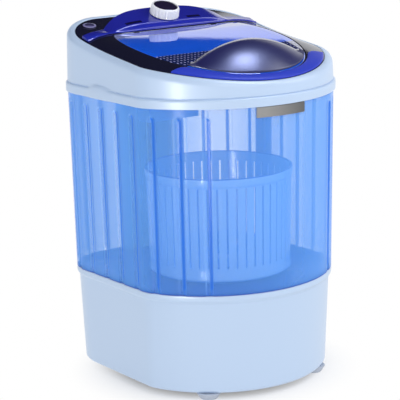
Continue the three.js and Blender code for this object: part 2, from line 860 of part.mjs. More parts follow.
function buildCordGland() {
  const wallBack = halfDepth - baseBackInset;
  const profile = [
    [3.6, wallBack - shellWall - 5],
    [glandBore, wallBack - shellWall - 5],
    [glandBore, wallBack + seatGap + 1],
    [glandBore + 3, wallBack + seatGap + 1],
    [glandBore + 3, wallBack + 4],
    [5.4, wallBack + 6],
    [5, halfDepth - 1],
    [3.6, halfDepth - 1],
    [3.6, wallBack - shellWall - 5],
  ];
  const gland = revolved(profile, 12);
  gland.rotateX(-Math.PI / 2);
  gland.translate(glandX, 0, outletZ);
  return gland;
}

part('drain_elbow', buildDrainElbow(), 0x8c9097, 0.6);
part('drain_outlet', buildDrainOutlet(), 0x8c9097, 0.5);
part('cord_gland', buildCordGland(), rubber, 0.7);

// ---------------------------------------------------------------- spin drive
// Rim profile of a pulley, from bottom to top, with a flat bottomed groove for the belt.
function beltGroove(radius, low, high) {
  const middle = (low + high) / 2;
  const root = radius - pulleyGrooveDepth;
  const rootHalf = beltHeight / 2 + seatGap;
  const mouthHalf = rootHalf + 1;
  return [
    [radius, low],
    [radius, middle - mouthHalf],
    [root, middle - rootHalf],
    [root, middle + rootHalf],
    [radius, middle + mouthHalf],
    [radius, high],
  ];
}

function grooveWheelProfile(radius, bore, hub, low, high) {
  const middle = (low + high) / 2;
  const web = 2.2;
  const rim = radius - 7;
  return [
    [bore, low],
    [hub, low],
    [hub, middle - web],
    [rim, middle - web],
    [rim, low],
    ...beltGroove(radius, low, high),
    [rim, high],
    [rim, middle + web],
    [hub, middle + web],
    [hub, high],
    [bore, high],
    [bore, low],
  ];
}

const shaftBore = shaftRadius + seatGap;

function buildDrivePulley() {
  const wheel = revolved(
    grooveWheelProfile(drivePulleyRadius, shaftBore, 14, pulleyBottom, pulleyBottom + pulleyHeight),
    20, 0, spinY,
  );
  const holes = Array.from({ length: 5 }, (_, i) => {
    const angle = (i * 2 * Math.PI) / 5;
    const radius = 36;
    const x = radius * Math.cos(angle);
    const y = spinY + radius * Math.sin(angle);
    return disc(13, pulleyBottom, pulleyBottom + pulleyHeight, 8, x, y);
  });
  return cut(wheel, ...holes);
}

function buildMotorPulley() {
  return revolved([
    [0, pulleyBottom - 1],
    [4, pulleyBottom - 1],
    [4, pulleyBottom],
    ...beltGroove(motorPulleyRadius, pulleyBottom, pulleyBottom + pulleyHeight),
    [4, pulleyBottom + pulleyHeight],
    [4, motorBottom + motorBossDepth],
    [0, motorBottom + motorBossDepth],
  ], 16, 0, motorY);
}

const bracketWall = 2.5;
const motorBottom = bracketBottom + bracketWall + seatGap;
const motorBossDepth = 6;

// Straight runs tangent to both pulleys, closed by an arc round each of them. offset counts from
// the bottom of the belt grooves.
function beltLoop(offset) {
  const small = motorPulleyRadius - pulleyGrooveDepth + offset;
  const large = drivePulleyRadius - pulleyGrooveDepth + offset;
  const lean = Math.asin((large - small) / (motorY - spinY));
  return [
    ...arcPoints(0, motorY, small, lean, Math.PI - lean, 8),
    [small * Math.cos(Math.PI - lean), motorY + small * Math.sin(Math.PI - lean)],
    ...arcPoints(0, spinY, large, Math.PI - lean, 2 * Math.PI + lean, 28),
    [large * Math.cos(lean), spinY + large * Math.sin(lean)],
  ];
}

function buildBelt() {
  const low = pulleyMiddle - beltHeight / 2;
  const outer = prism(beltLoop(seatGap + beltThickness), low, low + beltHeight);
  const inner = prism(beltLoop(seatGap), low - 1, low + beltHeight + 1);
  return cut(outer, inner);
}

function buildMotor() {
  const boss = 16;
  const shoulder = motorRadius - 6;
  const high = motorBottom + motorHeight;
  return revolved([
    [4 + seatGap, motorBottom],
    [boss, motorBottom],
    [boss, motorBottom + 4],
    [shoulder, motorBottom + 6],
    [motorRadius - 2, motorBottom + 14],
    [motorRadius - 2, motorBottom + 22],
    [motorRadius, motorBottom + 22],
    [motorRadius, high - 22],
    [motorRadius - 2, high - 22],
    [motorRadius - 2, high - 14],
    [shoulder, high - 6],
    [boss, high - 4],
    [boss, high],
    [0, high],
    [0, motorBottom + motorBossDepth + seatGap],
    [4 + seatGap, motorBottom + motorBossDepth + seatGap],
    [4 + seatGap, motorBottom],
  ], 16, 0, motorY);
}

const mountX = 54;
const mountYs = [motorY - 22, motorY + 22];

// Pressed steel plate that carries the motor, with a lip folded down at the front and the back.
function buildBracket() {
  const half = mountX + 12;
  const low = motorY - 34;
  const high = motorY + 34;
  const lip = 5;
  const plate = box([-half, low, bracketBottom], [half, high, bracketBottom + bracketWall]);
  const frontLip = box([-half, low, bracketBottom - lip], [half, low + bracketWall, bracketBottom + 1]);
  const backLip = box([-half, high - bracketWall, bracketBottom - lip], [half, high, bracketBottom + 1]);
  const bore = disc(motorPulleyRadius + 2, bracketBottom - 1, bracketBottom + 5, 24, 0, motorY);
  return cut(joined(plate, frontLip, backLip), bore);
}

function buildMotorMount() {
  const low = bottomCoverTop + seatGap;
  const high = bracketBottom - seatGap;
  const waist = motorMountRadius - 2;
  return revolved([
    [0, low],
    [motorMountRadius, low],
    [motorMountRadius, low + 3],
    [waist, low + 5],
    [waist, high - 5],
    [motorMountRadius, high - 3],
    [motorMountRadius, high],
    [0, high],
  ], 10);
}

function buildDriveShaft() {
  return disc(shaftRadius, pulleyBottom - 2, shaftTop, 16, 0, spinY);
}

const shaftTop = baseTop + 2;
const housingRadius = bearingRadius + 5;
const housingBottom = wellFloorBottom - bearingHousingLength;

// Flanged tube under the tank with a seat for a bearing at each end and six stiffening webs.
function buildBearingHousing() {
  const top = wellFloorBottom - seatGap;
  const seat = bearingHeight + seatGap;
  const body = revolved([
    [bearingRadius - 4, housingBottom + seat],
    [bearingRadius + seatGap, housingBottom + seat],
    [bearingRadius + seatGap, housingBottom],
    [housingRadius, housingBottom],
    [housingRadius, top - 5],
    [wellRadius - 24, top - 5],
    [wellRadius - 24, top],
    [bearingRadius + seatGap, top],
    [bearingRadius + seatGap, top - seat],
    [bearingRadius - 4, top - seat],
    [bearingRadius - 4, housingBottom + seat],
  ], 16);
  const webs = Array.from({ length: 6 }, (_, i) => {
    const outline = [
      [housingRadius - 1, top - bearingWebLength],
      [housingRadius + 2, top - bearingWebLength],
      [wellRadius - 28, top - 8],
      [wellRadius - 28, top - 4],
      [housingRadius - 1, top - 4],
    ];
    const web = prism(outline, -1.5, 1.5);
    web.rotateX(Math.PI / 2);
    web.rotateZ((i * Math.PI) / 3);
    return web;
  });
  const housing = joined(body, ...webs);
  housing.translate(0, spinY, 0);
  return housing;
}

function buildBearing(low) {
  return ring(shaftBore, bearingRadius, low, low + bearingHeight, 16, 0, spinY);
}

// Rubber lip seal in the tank's shaft hole.
function buildShaftSeal() {
  return revolved([
    [shaftBore, wellFloorBottom],
    [sealRadius, wellFloorBottom],
    [sealRadius, wellFloorTop + seatGap],
    [sealRadius + 2.5, wellFloorTop + seatGap],
    [sealRadius + 2.5, wellFloorTop + 2],
    [shaftBore + 1.5, wellFloorTop + 2],
    [shaftBore, wellFloorTop],
    [shaftBore, wellFloorBottom],
  ], 14, 0, spinY);
}

part('drive_pulley', buildDrivePulley(), 0x3c3f44, 0.5);
part('drive_belt', buildBelt(), 0x1d1d1f, 0.85);
part('motor_pulley', buildMotorPulley(), steel, 0.35, 0.8);
part('motor', buildMotor(), 0x8f9399, 0.4, 0.7);
part('motor_bracket', buildBracket(), steel, 0.4, 0.8);
mountYs.forEach((y, row) => [-mountX, mountX].forEach((x, column) => {
  const name = `motor_mount_${['front', 'rear'][row]}_${['left', 'right'][column]}`;
  part(name, buildMotorMount(), rubber, 0.85).position.set(x, y, 0);
}));
part('drive_shaft', buildDriveShaft(), steel, 0.3, 0.9);
part('bearing_housing', buildBearingHousing(), 0x55585c, 0.5, 0.3);
part('lower_bearing', buildBearing(housingBottom), steel, 0.3, 0.8);
part('upper_bearing', buildBearing(wellFloorBottom - seatGap - bearingHeight), steel, 0.3, 0.8);
part('shaft_seal', buildShaftSeal(), rubber, 0.8);

// Motor capacitor standing on the bottom cover.
function buildCapacitor() {
  const low = bottomCoverTop + seatGap;
  const high = low + capacitorHeight;
  return revolved([
    [0, low],
    [capacitorRadius, low],
    [capacitorRadius, high - 3],
    [capacitorRadius - 1.5, high],
    [6, high],
    [6, high + 5],
    [0, high + 5],
  ], 16, capacitorX, capacitorY);
}

part('motor_capacitor', buildCapacitor(), 0xe4e4de, 0.5);

// ---------------------------------------------------------------- pulsator and basket
const pulsatorRadius = wellRadius - 4;
const pulsatorBottom = wellFloorTop + 3;
const bossRadius = 22;
const neckRadius = 14;
const neckTop = basketBottom + 6;

// Disc with six curved vanes and a stepped boss that carries the basket.
function buildPulsator() {
  const body = revolved([
    [shaftBore, pulsatorBottom],
    [pulsatorRadius - 4, pulsatorBottom],
    [pulsatorRadius, pulsatorBottom + 2],
    [pulsatorRadius - 1, pulsatorBottom + 4],
    [bossRadius + 14, pulsatorBottom + 4],
    [bossRadius, basketBottom - seatGap],
    [neckRadius, basketBottom - seatGap],
    [neckRadius, neckTop],
    [0, neckTop],
    [0, shaftTop + seatGap],
    [shaftBore, shaftTop + seatGap],
    [shaftBore, pulsatorBottom],
  ], 26, 0, spinY);
  const vanes = Array.from({ length: 6 }, (_, i) => {
    const vane = new THREE.CylinderGeometry(3, 6, pulsatorRadius - 26, 9);
    vane.rotateZ(Math.PI / 2);
    vane.scale(1, 1, 0.9);
    vane.translate((pulsatorRadius + 12) / 2, 0, pulsatorBottom + 3.6);
    vane.rotateZ((i * Math.PI) / 3);
    vane.translate(0, spinY, 0);
    return vane;
  });
  return joined(body, ...vanes);
}

// Tapered cup with upright slots all round, a rolled rim band and a drilled bottom.
function buildBasket() {
  const taper = (z) => lerp(basketBaseRadius, basketRimRadius - 1.5, (z - basketBottom) / basketHeight);
  const bandLow = basketTop - basketRimBand;
  const wallLow = basketBottom + 8;
  const cup = revolved([
    [neckRadius + seatGap, basketBottom],
    [basketBaseRadius - 7, basketBottom],
    [basketBaseRadius + 1.2, basketBottom + 4],
    [basketBaseRadius + 1.2, basketBottom + 8],
    [taper(wallLow), basketBottom + 10],
    [taper(bandLow), bandLow],
    [basketRimRadius, bandLow + 1],
    [basketRimRadius, basketTop],
    [basketRimRadius - basketWall - 1.5, basketTop],
    [taper(bandLow) - basketWall, bandLow],
    [basketBaseRadius - basketWall, basketBottom + basketWall],
    [neckRadius + seatGap, basketBottom + basketWall],
    [neckRadius + seatGap, basketBottom],
  ], basketSlots);
  cup.rotateZ(Math.PI / basketSlots);
  const low = basketBottom + slotMargin;
  const high = bandLow - 2;
  const slots = Array.from({ length: basketSlots / 2 }, (_, i) => {
    const slot = box([-basketRimRadius - 2, -slotWidth / 2, low], [basketRimRadius + 2, slotWidth / 2, high]);
    slot.rotateZ((i * 2 * Math.PI) / basketSlots);
    return slot;
  });
  const drains = [[6, 38], [9, 68]].flatMap(([count, radius]) => Array.from({ length: count }, (_, i) => {
    const angle = (i * 2 * Math.PI) / count;
    return disc(3, basketBottom - 1, basketBottom + 4, 6, radius * Math.cos(angle), radius * Math.sin(angle));
  }));
  const basket = cut(cup, ...slots, ...drains);
  basket.translate(0, spinY, 0);
  return basket;
}

// Cap that screws down over the pulsator's neck and holds the basket.
function buildLockCap() {
  const low = basketBottom + basketWall + seatGap;
  const radius = neckRadius + 8;
  const top = neckTop + 8;
  return revolved([
    [neckRadius + seatGap, low],
    [radius, low],
    [radius, low + 3],
    [radius - 3, top - 3],
    [radius - 8, top],
    [0, top],
    [0, neckTop + seatGap],
    [neckRadius + seatGap, neckTop + seatGap],
    [neckRadius + seatGap, low],
  ], 16, 0, spinY);
}

part('pulsator', buildPulsator(), 0x5a9bee, 0.25);
part('spin_basket', buildBasket(), 0x8ab8f2, 0.25);
part('basket_lock_cap', buildLockCap(), 0x5a9bee, 0.25);

// ---------------------------------------------------------------- top shell
function buildTopShell() {
  const lipTop = shellSeam + shellLipHeight;
  const lipWall = tankTopSetBack - seatGap;
  const ledge = gasketTop + seatGap;
  const shelf = deckWall + 0.8;
  const inner = shellLipStep + shellWall + 1;
  const shell = loft([
    bodyRing(0, shellSeam),
    bodyRing(0, lipTop - shellLipRound),
    bodyRing(shellLipStep * 0.4, lipTop),
    bodyRing(shellLipStep, lipTop + 0.6),
    shoulderRing(0),
    shoulderRing(30),
    shoulderRing(60),
    shoulderRing(90),
    rimRing(1, 1.2),
    rimRing(1, shelf, 0.2),
    rimRing(1, shelf, shelfWidth),
    rimRing(1, shelf + shellWall, shelfWidth),
    rimRing(0, rimRound + shellWall, shellWall + 1),
    bodyRing(inner, ledge),
    bodyRing(lipWall, ledge),
    bodyRing(lipWall, shellSeam),
  ], true);
  const bumps = [-1, 1].map((side) => {
    const bump = new THREE.SphereGeometry(1, 16, 8);
    bump.scale(sideBumpDepth + 4, sideBumpLength / 2, sideBumpHeight / 2 + 6);
    bump.translate(side * (halfWidth - 4 - 0.2), sideBumpY, shellSeam + sideBumpHeight / 2 - 6);
    return bump;
  });
  const below = box([-bodyWidth, -halfDepth, shellSeam - bodyWidth], [bodyWidth, halfDepth, shellSeam]);
  const inside = loft([
    bodyRing(lipWall / 2, shellSeam - bodyWidth),
    bodyRing(lipWall / 2, lipTop),
    bodyRing(shellLipStep + shellWall / 2, lipTop + shellLipStep),
    bodyRing(shellLipStep + shellWall / 2, shellSeam + bodyWidth),
  ]);
  const inletNotch = inletAxisBody(disc(inletRadius + shellWall, -2 * inletRadius, -deckWall, 12));
  const trimmed = bumps.map((bump) => cut(bump, below, inside));
  return cut(joined(shell, ...trimmed), inletNotch);
}

// Bare plate under the lip, bent to the tank's front, with a bevel along its top edge.
function buildFrontPlate() {
  const low = shellSeam - plateHeight;
  const high = shellSeam - seatGap;
  const steps = 8;
  const section = (x) => {
    const point = (standOff, z) => new THREE.Vector3(x, frontY(x, tankInset(z) - seatGap - standOff), z);
    return [
      point(0, low),
      point(plateThickness, low),
      point(plateThickness, high - plateBevel),
      point(plateThickness - plateBevel, high),
      point(0, high),
    ];
  };
  return loft(Array.from({ length: steps + 1 }, (_, i) => section(plateX + plateWidth * (i / steps - 0.5))));
}

part('top_shell', buildTopShell(), white, 0.3);
part('front_plate', buildFrontPlate(), 0xb4b2ac, 0.3, 0.9);

// ---------------------------------------------------------------- knob axis
const consoleRearZ = lidHeight(hingeLine);

// Top of the control panel above the deck: a steep front lip, then a plane that rises to the back.
function panelSurface(x, share) {
  const u = Math.abs(x) / consoleHalfWidth;
  const wallRise = consoleWallRise * Math.max(0, 1 - u ** 4);
  const backRise = consoleRise - (consoleRise - consoleEndRise) * u ** consoleShoulderPower;
  return consoleRearZ + lerp(wallRise, backRise, share);
}

function panelBack(x) {
  const u = Math.abs(x) / consoleHalfWidth;
  if (u <= 1) return hingeLine + consoleDepth - consoleSweep * u ** 1.9;
  return hingeLine + consoleDepth - consoleSweep - armSweep * (Math.abs(x) - consoleHalfWidth);
}

const panelGap = 1.4;
const panelFront = hingeLine + panelGap;
const knobShare = (knobY - panelFront) / (panelBack(0) - panelFront);
const knobBase = panelSurface(0, knobShare) + 1;

// A frame on the knob's axis: its local Z leans towards the front.
function knobFrame() {
  const frame = new THREE.Group();
  frame.position.set(0, knobY, knobBase);
  frame.rotation.x = degrees(knobTilt);
  machine.add(frame);
  return frame;
}

// The same leaning cylinder as a cutter in the machine's frame.
function knobAxisCutter(radius, low, high) {
  const cutter = disc(radius, low, high, 12);
  cutter.rotateX(degrees(knobTilt));
  cutter.translate(0, knobY, knobBase);
  return cutter;
}

// ---------------------------------------------------------------- deck
// Hinge lug: a block from the deck's rear wall forward to a round end about the hinge axis.
function buildLug(side) {
  const z = hingeAxisZ();
  const nose = hingeBarrelRadius - 0.2;
  const outline = [
    ...arcPoints(hingeY, z, nose, Math.PI, 1.5 * Math.PI, 5),
    [hingeY, z - nose],
    [hingeLine + 3, z - nose],
    [hingeLine + 3, z + nose - 1.6],
    [hingeY, z + nose],
    ...arcPoints(hingeY, z, nose, Math.PI / 2, Math.PI, 5).slice(1),
  ];
  const lug = prism(outline, -hingeLugWidth / 2, hingeLugWidth / 2);
  lug.applyMatrix4(new THREE.Matrix4().makeBasis(
    new THREE.Vector3(0, 1, 0), new THREE.Vector3(0, 0, 1), new THREE.Vector3(1, 0, 0),
  ));
  lug.translate(side * hingeLugX, 0, 0);
  return lug;
}

function hingeAxisZ() {
  return lidHeight(hingeY) - hingeBarrelRadius;
}

function buildDeck() {
  const shares = [0, 0.15, 0.5, 1];
  const top = shares.map((share) => deckAngles.map((angle) => deckPoint(angle, share)));
  const under = [0.97, 0.1].map((share) => deckAngles.map((angle) => deckPoint(angle, share, deckWall)));
  const recess = lidThickness + lidSeatGap;
  const rings = [
    ...top,
    lidRing(lidGap, lidGap, recess),
    lidRing(-openingInset, lidGap, recess),
    lidRing(-openingInset, lidGap, recess + deckCollarDepth),
    lidRing(-openingInset + deckWall, lidGap + deckWall, recess + deckCollarDepth),
    lidRing(-openingInset + deckWall, lidGap + deckWall, recess + deckWall),
    lidRing(lidGap + deckWall, lidGap + deckWall, recess + deckWall),
    ...under,
    deckAngles.map((angle) => deckPoint(angle, 0, deckWall)),
  ];
  const shell = loft(rings, true);
  const inletHole = inletAxisBody(disc(inletRadius + seatGap, -2 * inletRadius, 2 * inletRadius, 16));
  const lugs = [-1, 1].map(buildLug);
  const pinBore = rodAlongX(hingePinRadius + seatGap, -lidHalfWidth, lidHalfWidth, hingeY, hingeAxisZ(), 8);
  return cut(joined(shell, ...lugs), inletHole, pinBore, knobAxisCutter(timerShaftRadius + 2, -40, 20));
}

part('deck', buildDeck(), black, 0.12);

// Crescent of blue trim round the front of the lid. Its two tips sweep out to the rim.
function buildFrontTrim() {
  const steps = 26;
  const start = degrees(-180 + trimTipAngle);
  const end = degrees(-trimTipAngle);
  const sections = Array.from({ length: steps + 1 }, (_, i) => {
    const sweep = (1 - Math.cos((Math.PI * i) / steps)) / 2;
    const angle = lerp(start, end, sweep);
    const fromTip = Math.min(angle - start, end - angle) / degrees(trimFlatAngle - trimTipAngle);
    const inner = lerp(trimRimShare + 0.05, trimInnerShare, 1 - Math.max(0, 1 - fromTip) ** 5);
    const row = [0, 1 / 3, 2 / 3, 1].map((t) => lerp(trimRimShare, inner, t));
    const crown = (t) => trimThickness * (0.75 + 0.25 * Math.sin(Math.PI * t));
    const upper = row.map((share, k) => deckPoint(angle, share, -seatGap - crown(k / 3)));
    const lower = row.map((share) => deckPoint(angle, share, -seatGap)).reverse();
    return [...upper, ...lower];
  });
  return loft(sections);
}

part('front_trim', buildFrontTrim(), panelBlue, 0.15);

// Raised panel behind the lid with an arm to the rim on each side, in sections along X.
function buildControlPanel() {
  const armEnd = deckEdgePlan.reduce((widest, [x, y]) => (Math.abs(y - hingeLine - 8) < 14
    ? Math.min(widest, Math.abs(x)) : widest), halfWidth) - 1;
  const steps = 28;
  const topShares = [0, 0.04, 0.12, 0.45, 0.92, 1];
  const bottomShares = [1, 0.5, 0];
  const sections = Array.from({ length: steps + 1 }, (_, i) => {
    const x = armEnd * Math.sin((Math.PI / 2) * (-1 + (2 * i) / steps) * 0.98) / Math.sin((Math.PI / 2) * 0.98);
    const back = panelBack(x);
    const arm = clamp((Math.abs(x) - consoleHalfWidth) / (armEnd - consoleHalfWidth), 0, 1);
    const front = panelFront - armFlare * arm * arm;
    const low = (y) => deckHeight(x, y) + panelSeatGap;
    const topPoints = topShares.map((share) => {
      const y = lerp(front, back, share);
      const base = low(y);
      const full = Math.max(panelSurface(x, share), base + trimThickness + armRise * arm * share);
      const edge = Math.min(smooth(share / 0.1), smooth((1 - share) / 0.06));
      return new THREE.Vector3(x, y, lerp(base + trimThickness * 0.6, full, edge));
    });
    const bottomPoints = bottomShares.map((share) => {
      const y = lerp(front, back, share);
      return new THREE.Vector3(x, y, low(y));
    });
    return [...topPoints, ...bottomPoints];
  });
  return cut(loft(sections), knobAxisCutter(timerShaftRadius + 2, -40, 20));
}

part('control_panel', buildControlPanel(), panelBlue, 0.15);

// Water inlet: a cup set in the deck with a flange on top and four holes in its floor.
function buildInlet() {
  const wall = 1.4;
  const depth = 11;
  const flange = inletFlange;
  const cup = revolved([
    [0, -depth],
    [inletRadius, -depth],
    [inletRadius, seatGap + 0.3],
    [inletRadius + flange, seatGap + 0.3],
    [inletRadius + flange, 1.4],
    [inletRadius - wall, 1.8],
    [inletRadius - wall, -depth + wall],
    [0, -depth + wall],
  ], 16);
  const holes = Array.from({ length: 4 }, (_, i) => {
    const angle = (i * Math.PI) / 2;
    const radius = inletRadius * 0.5;
    return disc(1.3, -depth - 1, -depth + wall + 1, 6, radius * Math.cos(angle), radius * Math.sin(angle));
  });
  return cut(cup, ...holes);
}

const inlet = part('water_inlet', buildInlet(), 0x6a62a8, 0.3);
inlet.position.copy(inletPlace);
inlet.quaternion.copy(inletTilt);

// ---------------------------------------------------------------- timer
// Highest local level, along the knob's axis, that stays under the deck over a given radius.
function timerSeatLevel(radius) {
  const frame = new THREE.Matrix4().makeRotationX(degrees(knobTilt)).setPosition(0, knobY, knobBase);
  const inverse = frame.clone().invert();
  let level = Infinity;
  for (let i = 0; i < 16; i += 1) {
    const angle = (i * Math.PI) / 8;
    const spot = new THREE.Vector3(radius * Math.cos(angle), radius * Math.sin(angle), -14).applyMatrix4(frame);
    const under = new THREE.Vector3(spot.x, spot.y, deckHeight(spot.x, spot.y) - deckWall);
    level = Math.min(level, under.applyMatrix4(inverse).z);
  }
  return level - 2 * seatGap;
}

const timerSeat = timerSeatLevel(timerBodyRadius);
const knobGroup = knobFrame();

// Clockwork body: a stepped drum with a mounting collar under the deck.
function buildTimerBody() {
  const bottom = timerSeat - timerBodyHeight;
  return revolved([
    [timerShaftRadius + seatGap, timerSeat],
    [timerShaftRadius + seatGap, bottom + 6],
    [0, bottom + 6],
    [0, bottom],
    [timerBodyRadius - 4, bottom],
    [timerBodyRadius, bottom + 3],
    [timerBodyRadius, timerSeat - 12],
    [timerBodyRadius - 2, timerSeat - 12],
    [timerBodyRadius - 2, timerSeat - 8],
    [timerBodyRadius, timerSeat - 8],
    [timerBodyRadius, timerSeat],
    [timerShaftRadius + seatGap, timerSeat],
  ], 16);
}

const knobSocketDepth = 9;

function buildTimerShaft() {
  const low = timerSeat - timerBodyHeight + 6 + seatGap;
  return disc(timerShaftRadius, low, knobSocketDepth - seatGap, 12);
}

// Knob: fluted side, drafted, with a socket for the shaft below and a recess for its cap above.
function buildKnob() {
  const count = 2 * knobFlutes;
  const section = (radius, depth, height) => Array.from({ length: count }, (_, i) => {
    const angle = (i * 2 * Math.PI) / count;
    const r = radius - (i % 2) * depth;
    return new THREE.Vector3(r * Math.cos(angle), r * Math.sin(angle), height);
  });
  const body = loft([
    section(knobRadius, 0.1, 0),
    section(knobRadius, 0.9, 1.5),
    section(knobRadius - 0.8, 0.9, knobHeight - 2.4),
    section(knobRadius - 1.8, 0.4, knobHeight - 0.8),
    section(knobRadius - 3, 0, knobHeight),
  ]);
  const recess = disc(knobCapRadius + seatGap, knobHeight - 1.6, knobHeight + 1, 24);
  const socket = disc(timerShaftRadius + seatGap, -1, knobSocketDepth, 12);
  return cut(body, recess, socket);
}

function buildKnobCap() {
  const low = knobHeight - 1.6 + seatGap;
  return revolved([
    [0, low],
    [knobCapRadius, low],
    [knobCapRadius, knobHeight - 0.4],
    [knobCapRadius - 3, knobHeight + 0.5],
    [0, knobHeight + 1],
  ], 24);
}

part('timer_body', buildTimerBody(), 0xd8d4c4, 0.5, 0, knobGroup);
part('timer_shaft', buildTimerShaft(), steel, 0.3, 0.8, knobGroup);
part('timer_knob', buildKnob(), 0xf2f3f8, 0.25, 0, knobGroup);
part('knob_cap', buildKnobCap(), 0x231a3a, 0.15, 0, knobGroup);

// Open topped box under the deck that keeps water off the timer, its rim following the deck.
function buildTimerHousing() {
  const front = hingeLine + lidGap + deckWall + 1;
  const back = channelFront - tankWall - 2;
  const half = ductHalfWidth - 3;
  const low = deckHeight(0, knobY) - timerBoxDrop;
  const columns = 5;
  const edge = (inset, drop) => {
    const [x0, x1, y0, y1] = [-half + inset, half - inset, front + inset, back - inset];
    const along = (from, to) => Array.from({ length: columns }, (_, i) => [
      lerp(from[0], to[0], i / columns), lerp(from[1], to[1], i / columns),
    ]);
    const loop = [
      ...along([x0, y0], [x1, y0]),
      ...along([x1, y0], [x1, y1]),
      ...along([x1, y1], [x0, y1]),
      ...along([x0, y1], [x0, y0]),
    ];
    return loop.map(([x, y]) => new THREE.Vector3(x, y, drop === null
      ? low + inset : deckHeight(x, y) - deckWall - drop));
  };
  return loft([
    edge(timerBoxWall, null),
    edge(timerBoxWall, 2 * seatGap),
    edge(0, 2 * seatGap),
    edge(0, null),
  ]);
}

part('timer_housing', buildTimerHousing(), 0x2c2f52, 0.4);

// ---------------------------------------------------------------- lid
// Clear lid: a thin bowed plate with a hinge barrel along its straight rear edge.
function buildLidWindow() {
  const rim = (share, drop) => deckAngles.map((angle) => {
    const radius = lidReach(angle, 0, -hingeBarrelRadius - 0.4) * share;
    const y = radius * Math.sin(angle);
    return new THREE.Vector3(radius * Math.cos(angle), y, lidHeight(y) - drop);
  });
  const plate = loft([
    rim(0.5, 0),
    rim(0.97, 0),
    rim(1, 0.8),
    rim(1, lidThickness),
    rim(0.5, lidThickness),
  ]);
  const reachX = openingCornerX - 2 * seatGap;
  const z = hingeAxisZ();
  const barrel = rodAlongX(hingeBarrelRadius, -reachX, reachX, hingeY, z, 12);
  const notches = [-1, 1].map((side) => {
    const middle = side * hingeLugX;
    const half = hingeLugWidth / 2 + seatGap;
    const front = hingeY - hingeBarrelRadius - 1.5;
    return box([middle - half, front, z - 8], [middle + half, hingeLine + 5, z + 8]);
  });
  const bores = [-1, 1].map((side) => rodAlongX(
    hingePinRadius + seatGap,
    side * hingeLugX - pinHalfLength - seatGap,
    side * hingeLugX + pinHalfLength + seatGap,
    hingeY, z, 12,
  ));
  return cut(joined(plate, barrel), ...notches, ...bores);
}

const pinHalfLength = hingeLugWidth / 2 + 8;

// Height of the hood above its base plate, across the lid.
function gripArch(x) {
  const u = x / gripHalfWidth;
  return gripRise * Math.max(0, 1 - u * u);
}

function lidFrontEdge(x, inset) {
  const share = 1 - (Math.abs(x) / (lidHalfWidth - inset)) ** lidOutlinePower;
  return -(lidFrontReach - inset) * share ** (1 / lidOutlinePower);
}

function gripTop(x, share) {
  const y = lerp(lidFrontEdge(x, 1.2), gripLipY, share);
  const rise = gripArch(x) * (1 - (1 - share) ** 2);
  return new THREE.Vector3(x, y, lidHeight(y) + seatGap + gripBase + rise);
}

// Dark hood on the front of the lid, open to the rear for the fingers.
function buildLidGrip() {
  const lipInset = 1.2;
  const share = (-gripLipY / (lidFrontReach - lipInset)) ** lidOutlinePower;
  const end = (lidHalfWidth - lipInset) * (1 - share) ** (1 / lidOutlinePower) - 2;
  const steps = 24;
  const shares = [0, 0.15, 0.35, 0.65, 1];
  const sections = Array.from({ length: steps + 1 }, (_, i) => {
    const x = lerp(-end, end, i / steps);
    const top = shares.map((t) => gripTop(x, t));
    const under = shares.map((t) => {
      const p = gripTop(x, t);
      return new THREE.Vector3(x, p.y, Math.max(lidHeight(p.y) + seatGap, p.z - gripWall));
    }).reverse();
    return [...top, ...under];
  });
  return loft(sections);
}

// Silver strip along the hood's rear lip.
function buildGripStrip() {
  const end = gripHalfWidth + 6;
  const steps = 24;
  const sections = Array.from({ length: steps + 1 }, (_, i) => {
    const x = lerp(-end, end, i / steps);
    const top = gripTop(x, 1).z + 0.4;
    const y0 = gripLipY + seatGap;
    const y1 = y0 + gripStripWidth;
    const low = Math.max(top - gripWall - 0.4, lidHeight(y1) + seatGap);
    return [
      new THREE.Vector3(x, y0, low),
      new THREE.Vector3(x, y1, low),
      new THREE.Vector3(x, y1, top - 0.5),
      new THREE.Vector3(x, y1 - 0.6, top),
      new THREE.Vector3(x, y0, top),
    ];
  });
  return loft(sections);
}

part('lid_window', buildLidWindow(), 0xc8d4f0, 0.05);
part('lid_grip', buildLidGrip(), 0x1c1636, 0.12);
part('grip_strip', buildGripStrip(), 0xc4c6cc, 0.25, 0.9);
[-1, 1].forEach((side) => {
  const middle = side * hingeLugX;
  const pin = rodAlongX(hingePinRadius, middle - pinHalfLength, middle + pinHalfLength, hingeY, hingeAxisZ(), 12);
  part(side < 0 ? 'hinge_pin_left' : 'hinge_pin_right', pin, steel, 0.3, 0.9);
});

export default machine;
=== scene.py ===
import math

import bmesh
import bpy
import numpy as np
from mathutils import Matrix


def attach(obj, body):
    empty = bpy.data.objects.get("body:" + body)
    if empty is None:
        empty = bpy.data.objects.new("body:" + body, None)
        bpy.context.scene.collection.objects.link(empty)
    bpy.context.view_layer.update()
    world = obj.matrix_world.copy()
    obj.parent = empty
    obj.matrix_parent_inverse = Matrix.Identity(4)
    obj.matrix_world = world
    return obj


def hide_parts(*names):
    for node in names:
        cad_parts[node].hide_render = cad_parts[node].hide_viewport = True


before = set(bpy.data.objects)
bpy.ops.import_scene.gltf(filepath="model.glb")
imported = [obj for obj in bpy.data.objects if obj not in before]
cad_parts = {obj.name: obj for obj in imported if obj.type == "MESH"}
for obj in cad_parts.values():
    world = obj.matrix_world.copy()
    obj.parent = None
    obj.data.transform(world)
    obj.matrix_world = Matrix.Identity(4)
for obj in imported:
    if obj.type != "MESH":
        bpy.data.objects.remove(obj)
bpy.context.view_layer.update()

# ---------------------------------------------------------------- base housing
# The base is one deep white polypropylene moulding that hides the motor and the belt drive.
# Its sides have a little draft, and a lip stands out round its top, where the tank sits.
# The back has air slots behind the motor and two round holes for the drain spout and the cord gland.
SEAT_GAP = 0.3
HALF_WIDTH, HALF_DEPTH = 161.8, 172.3
FRONT_BULGE, FRONT_CORNER, REAR_CORNER = 104.0, 61.8, 80.8
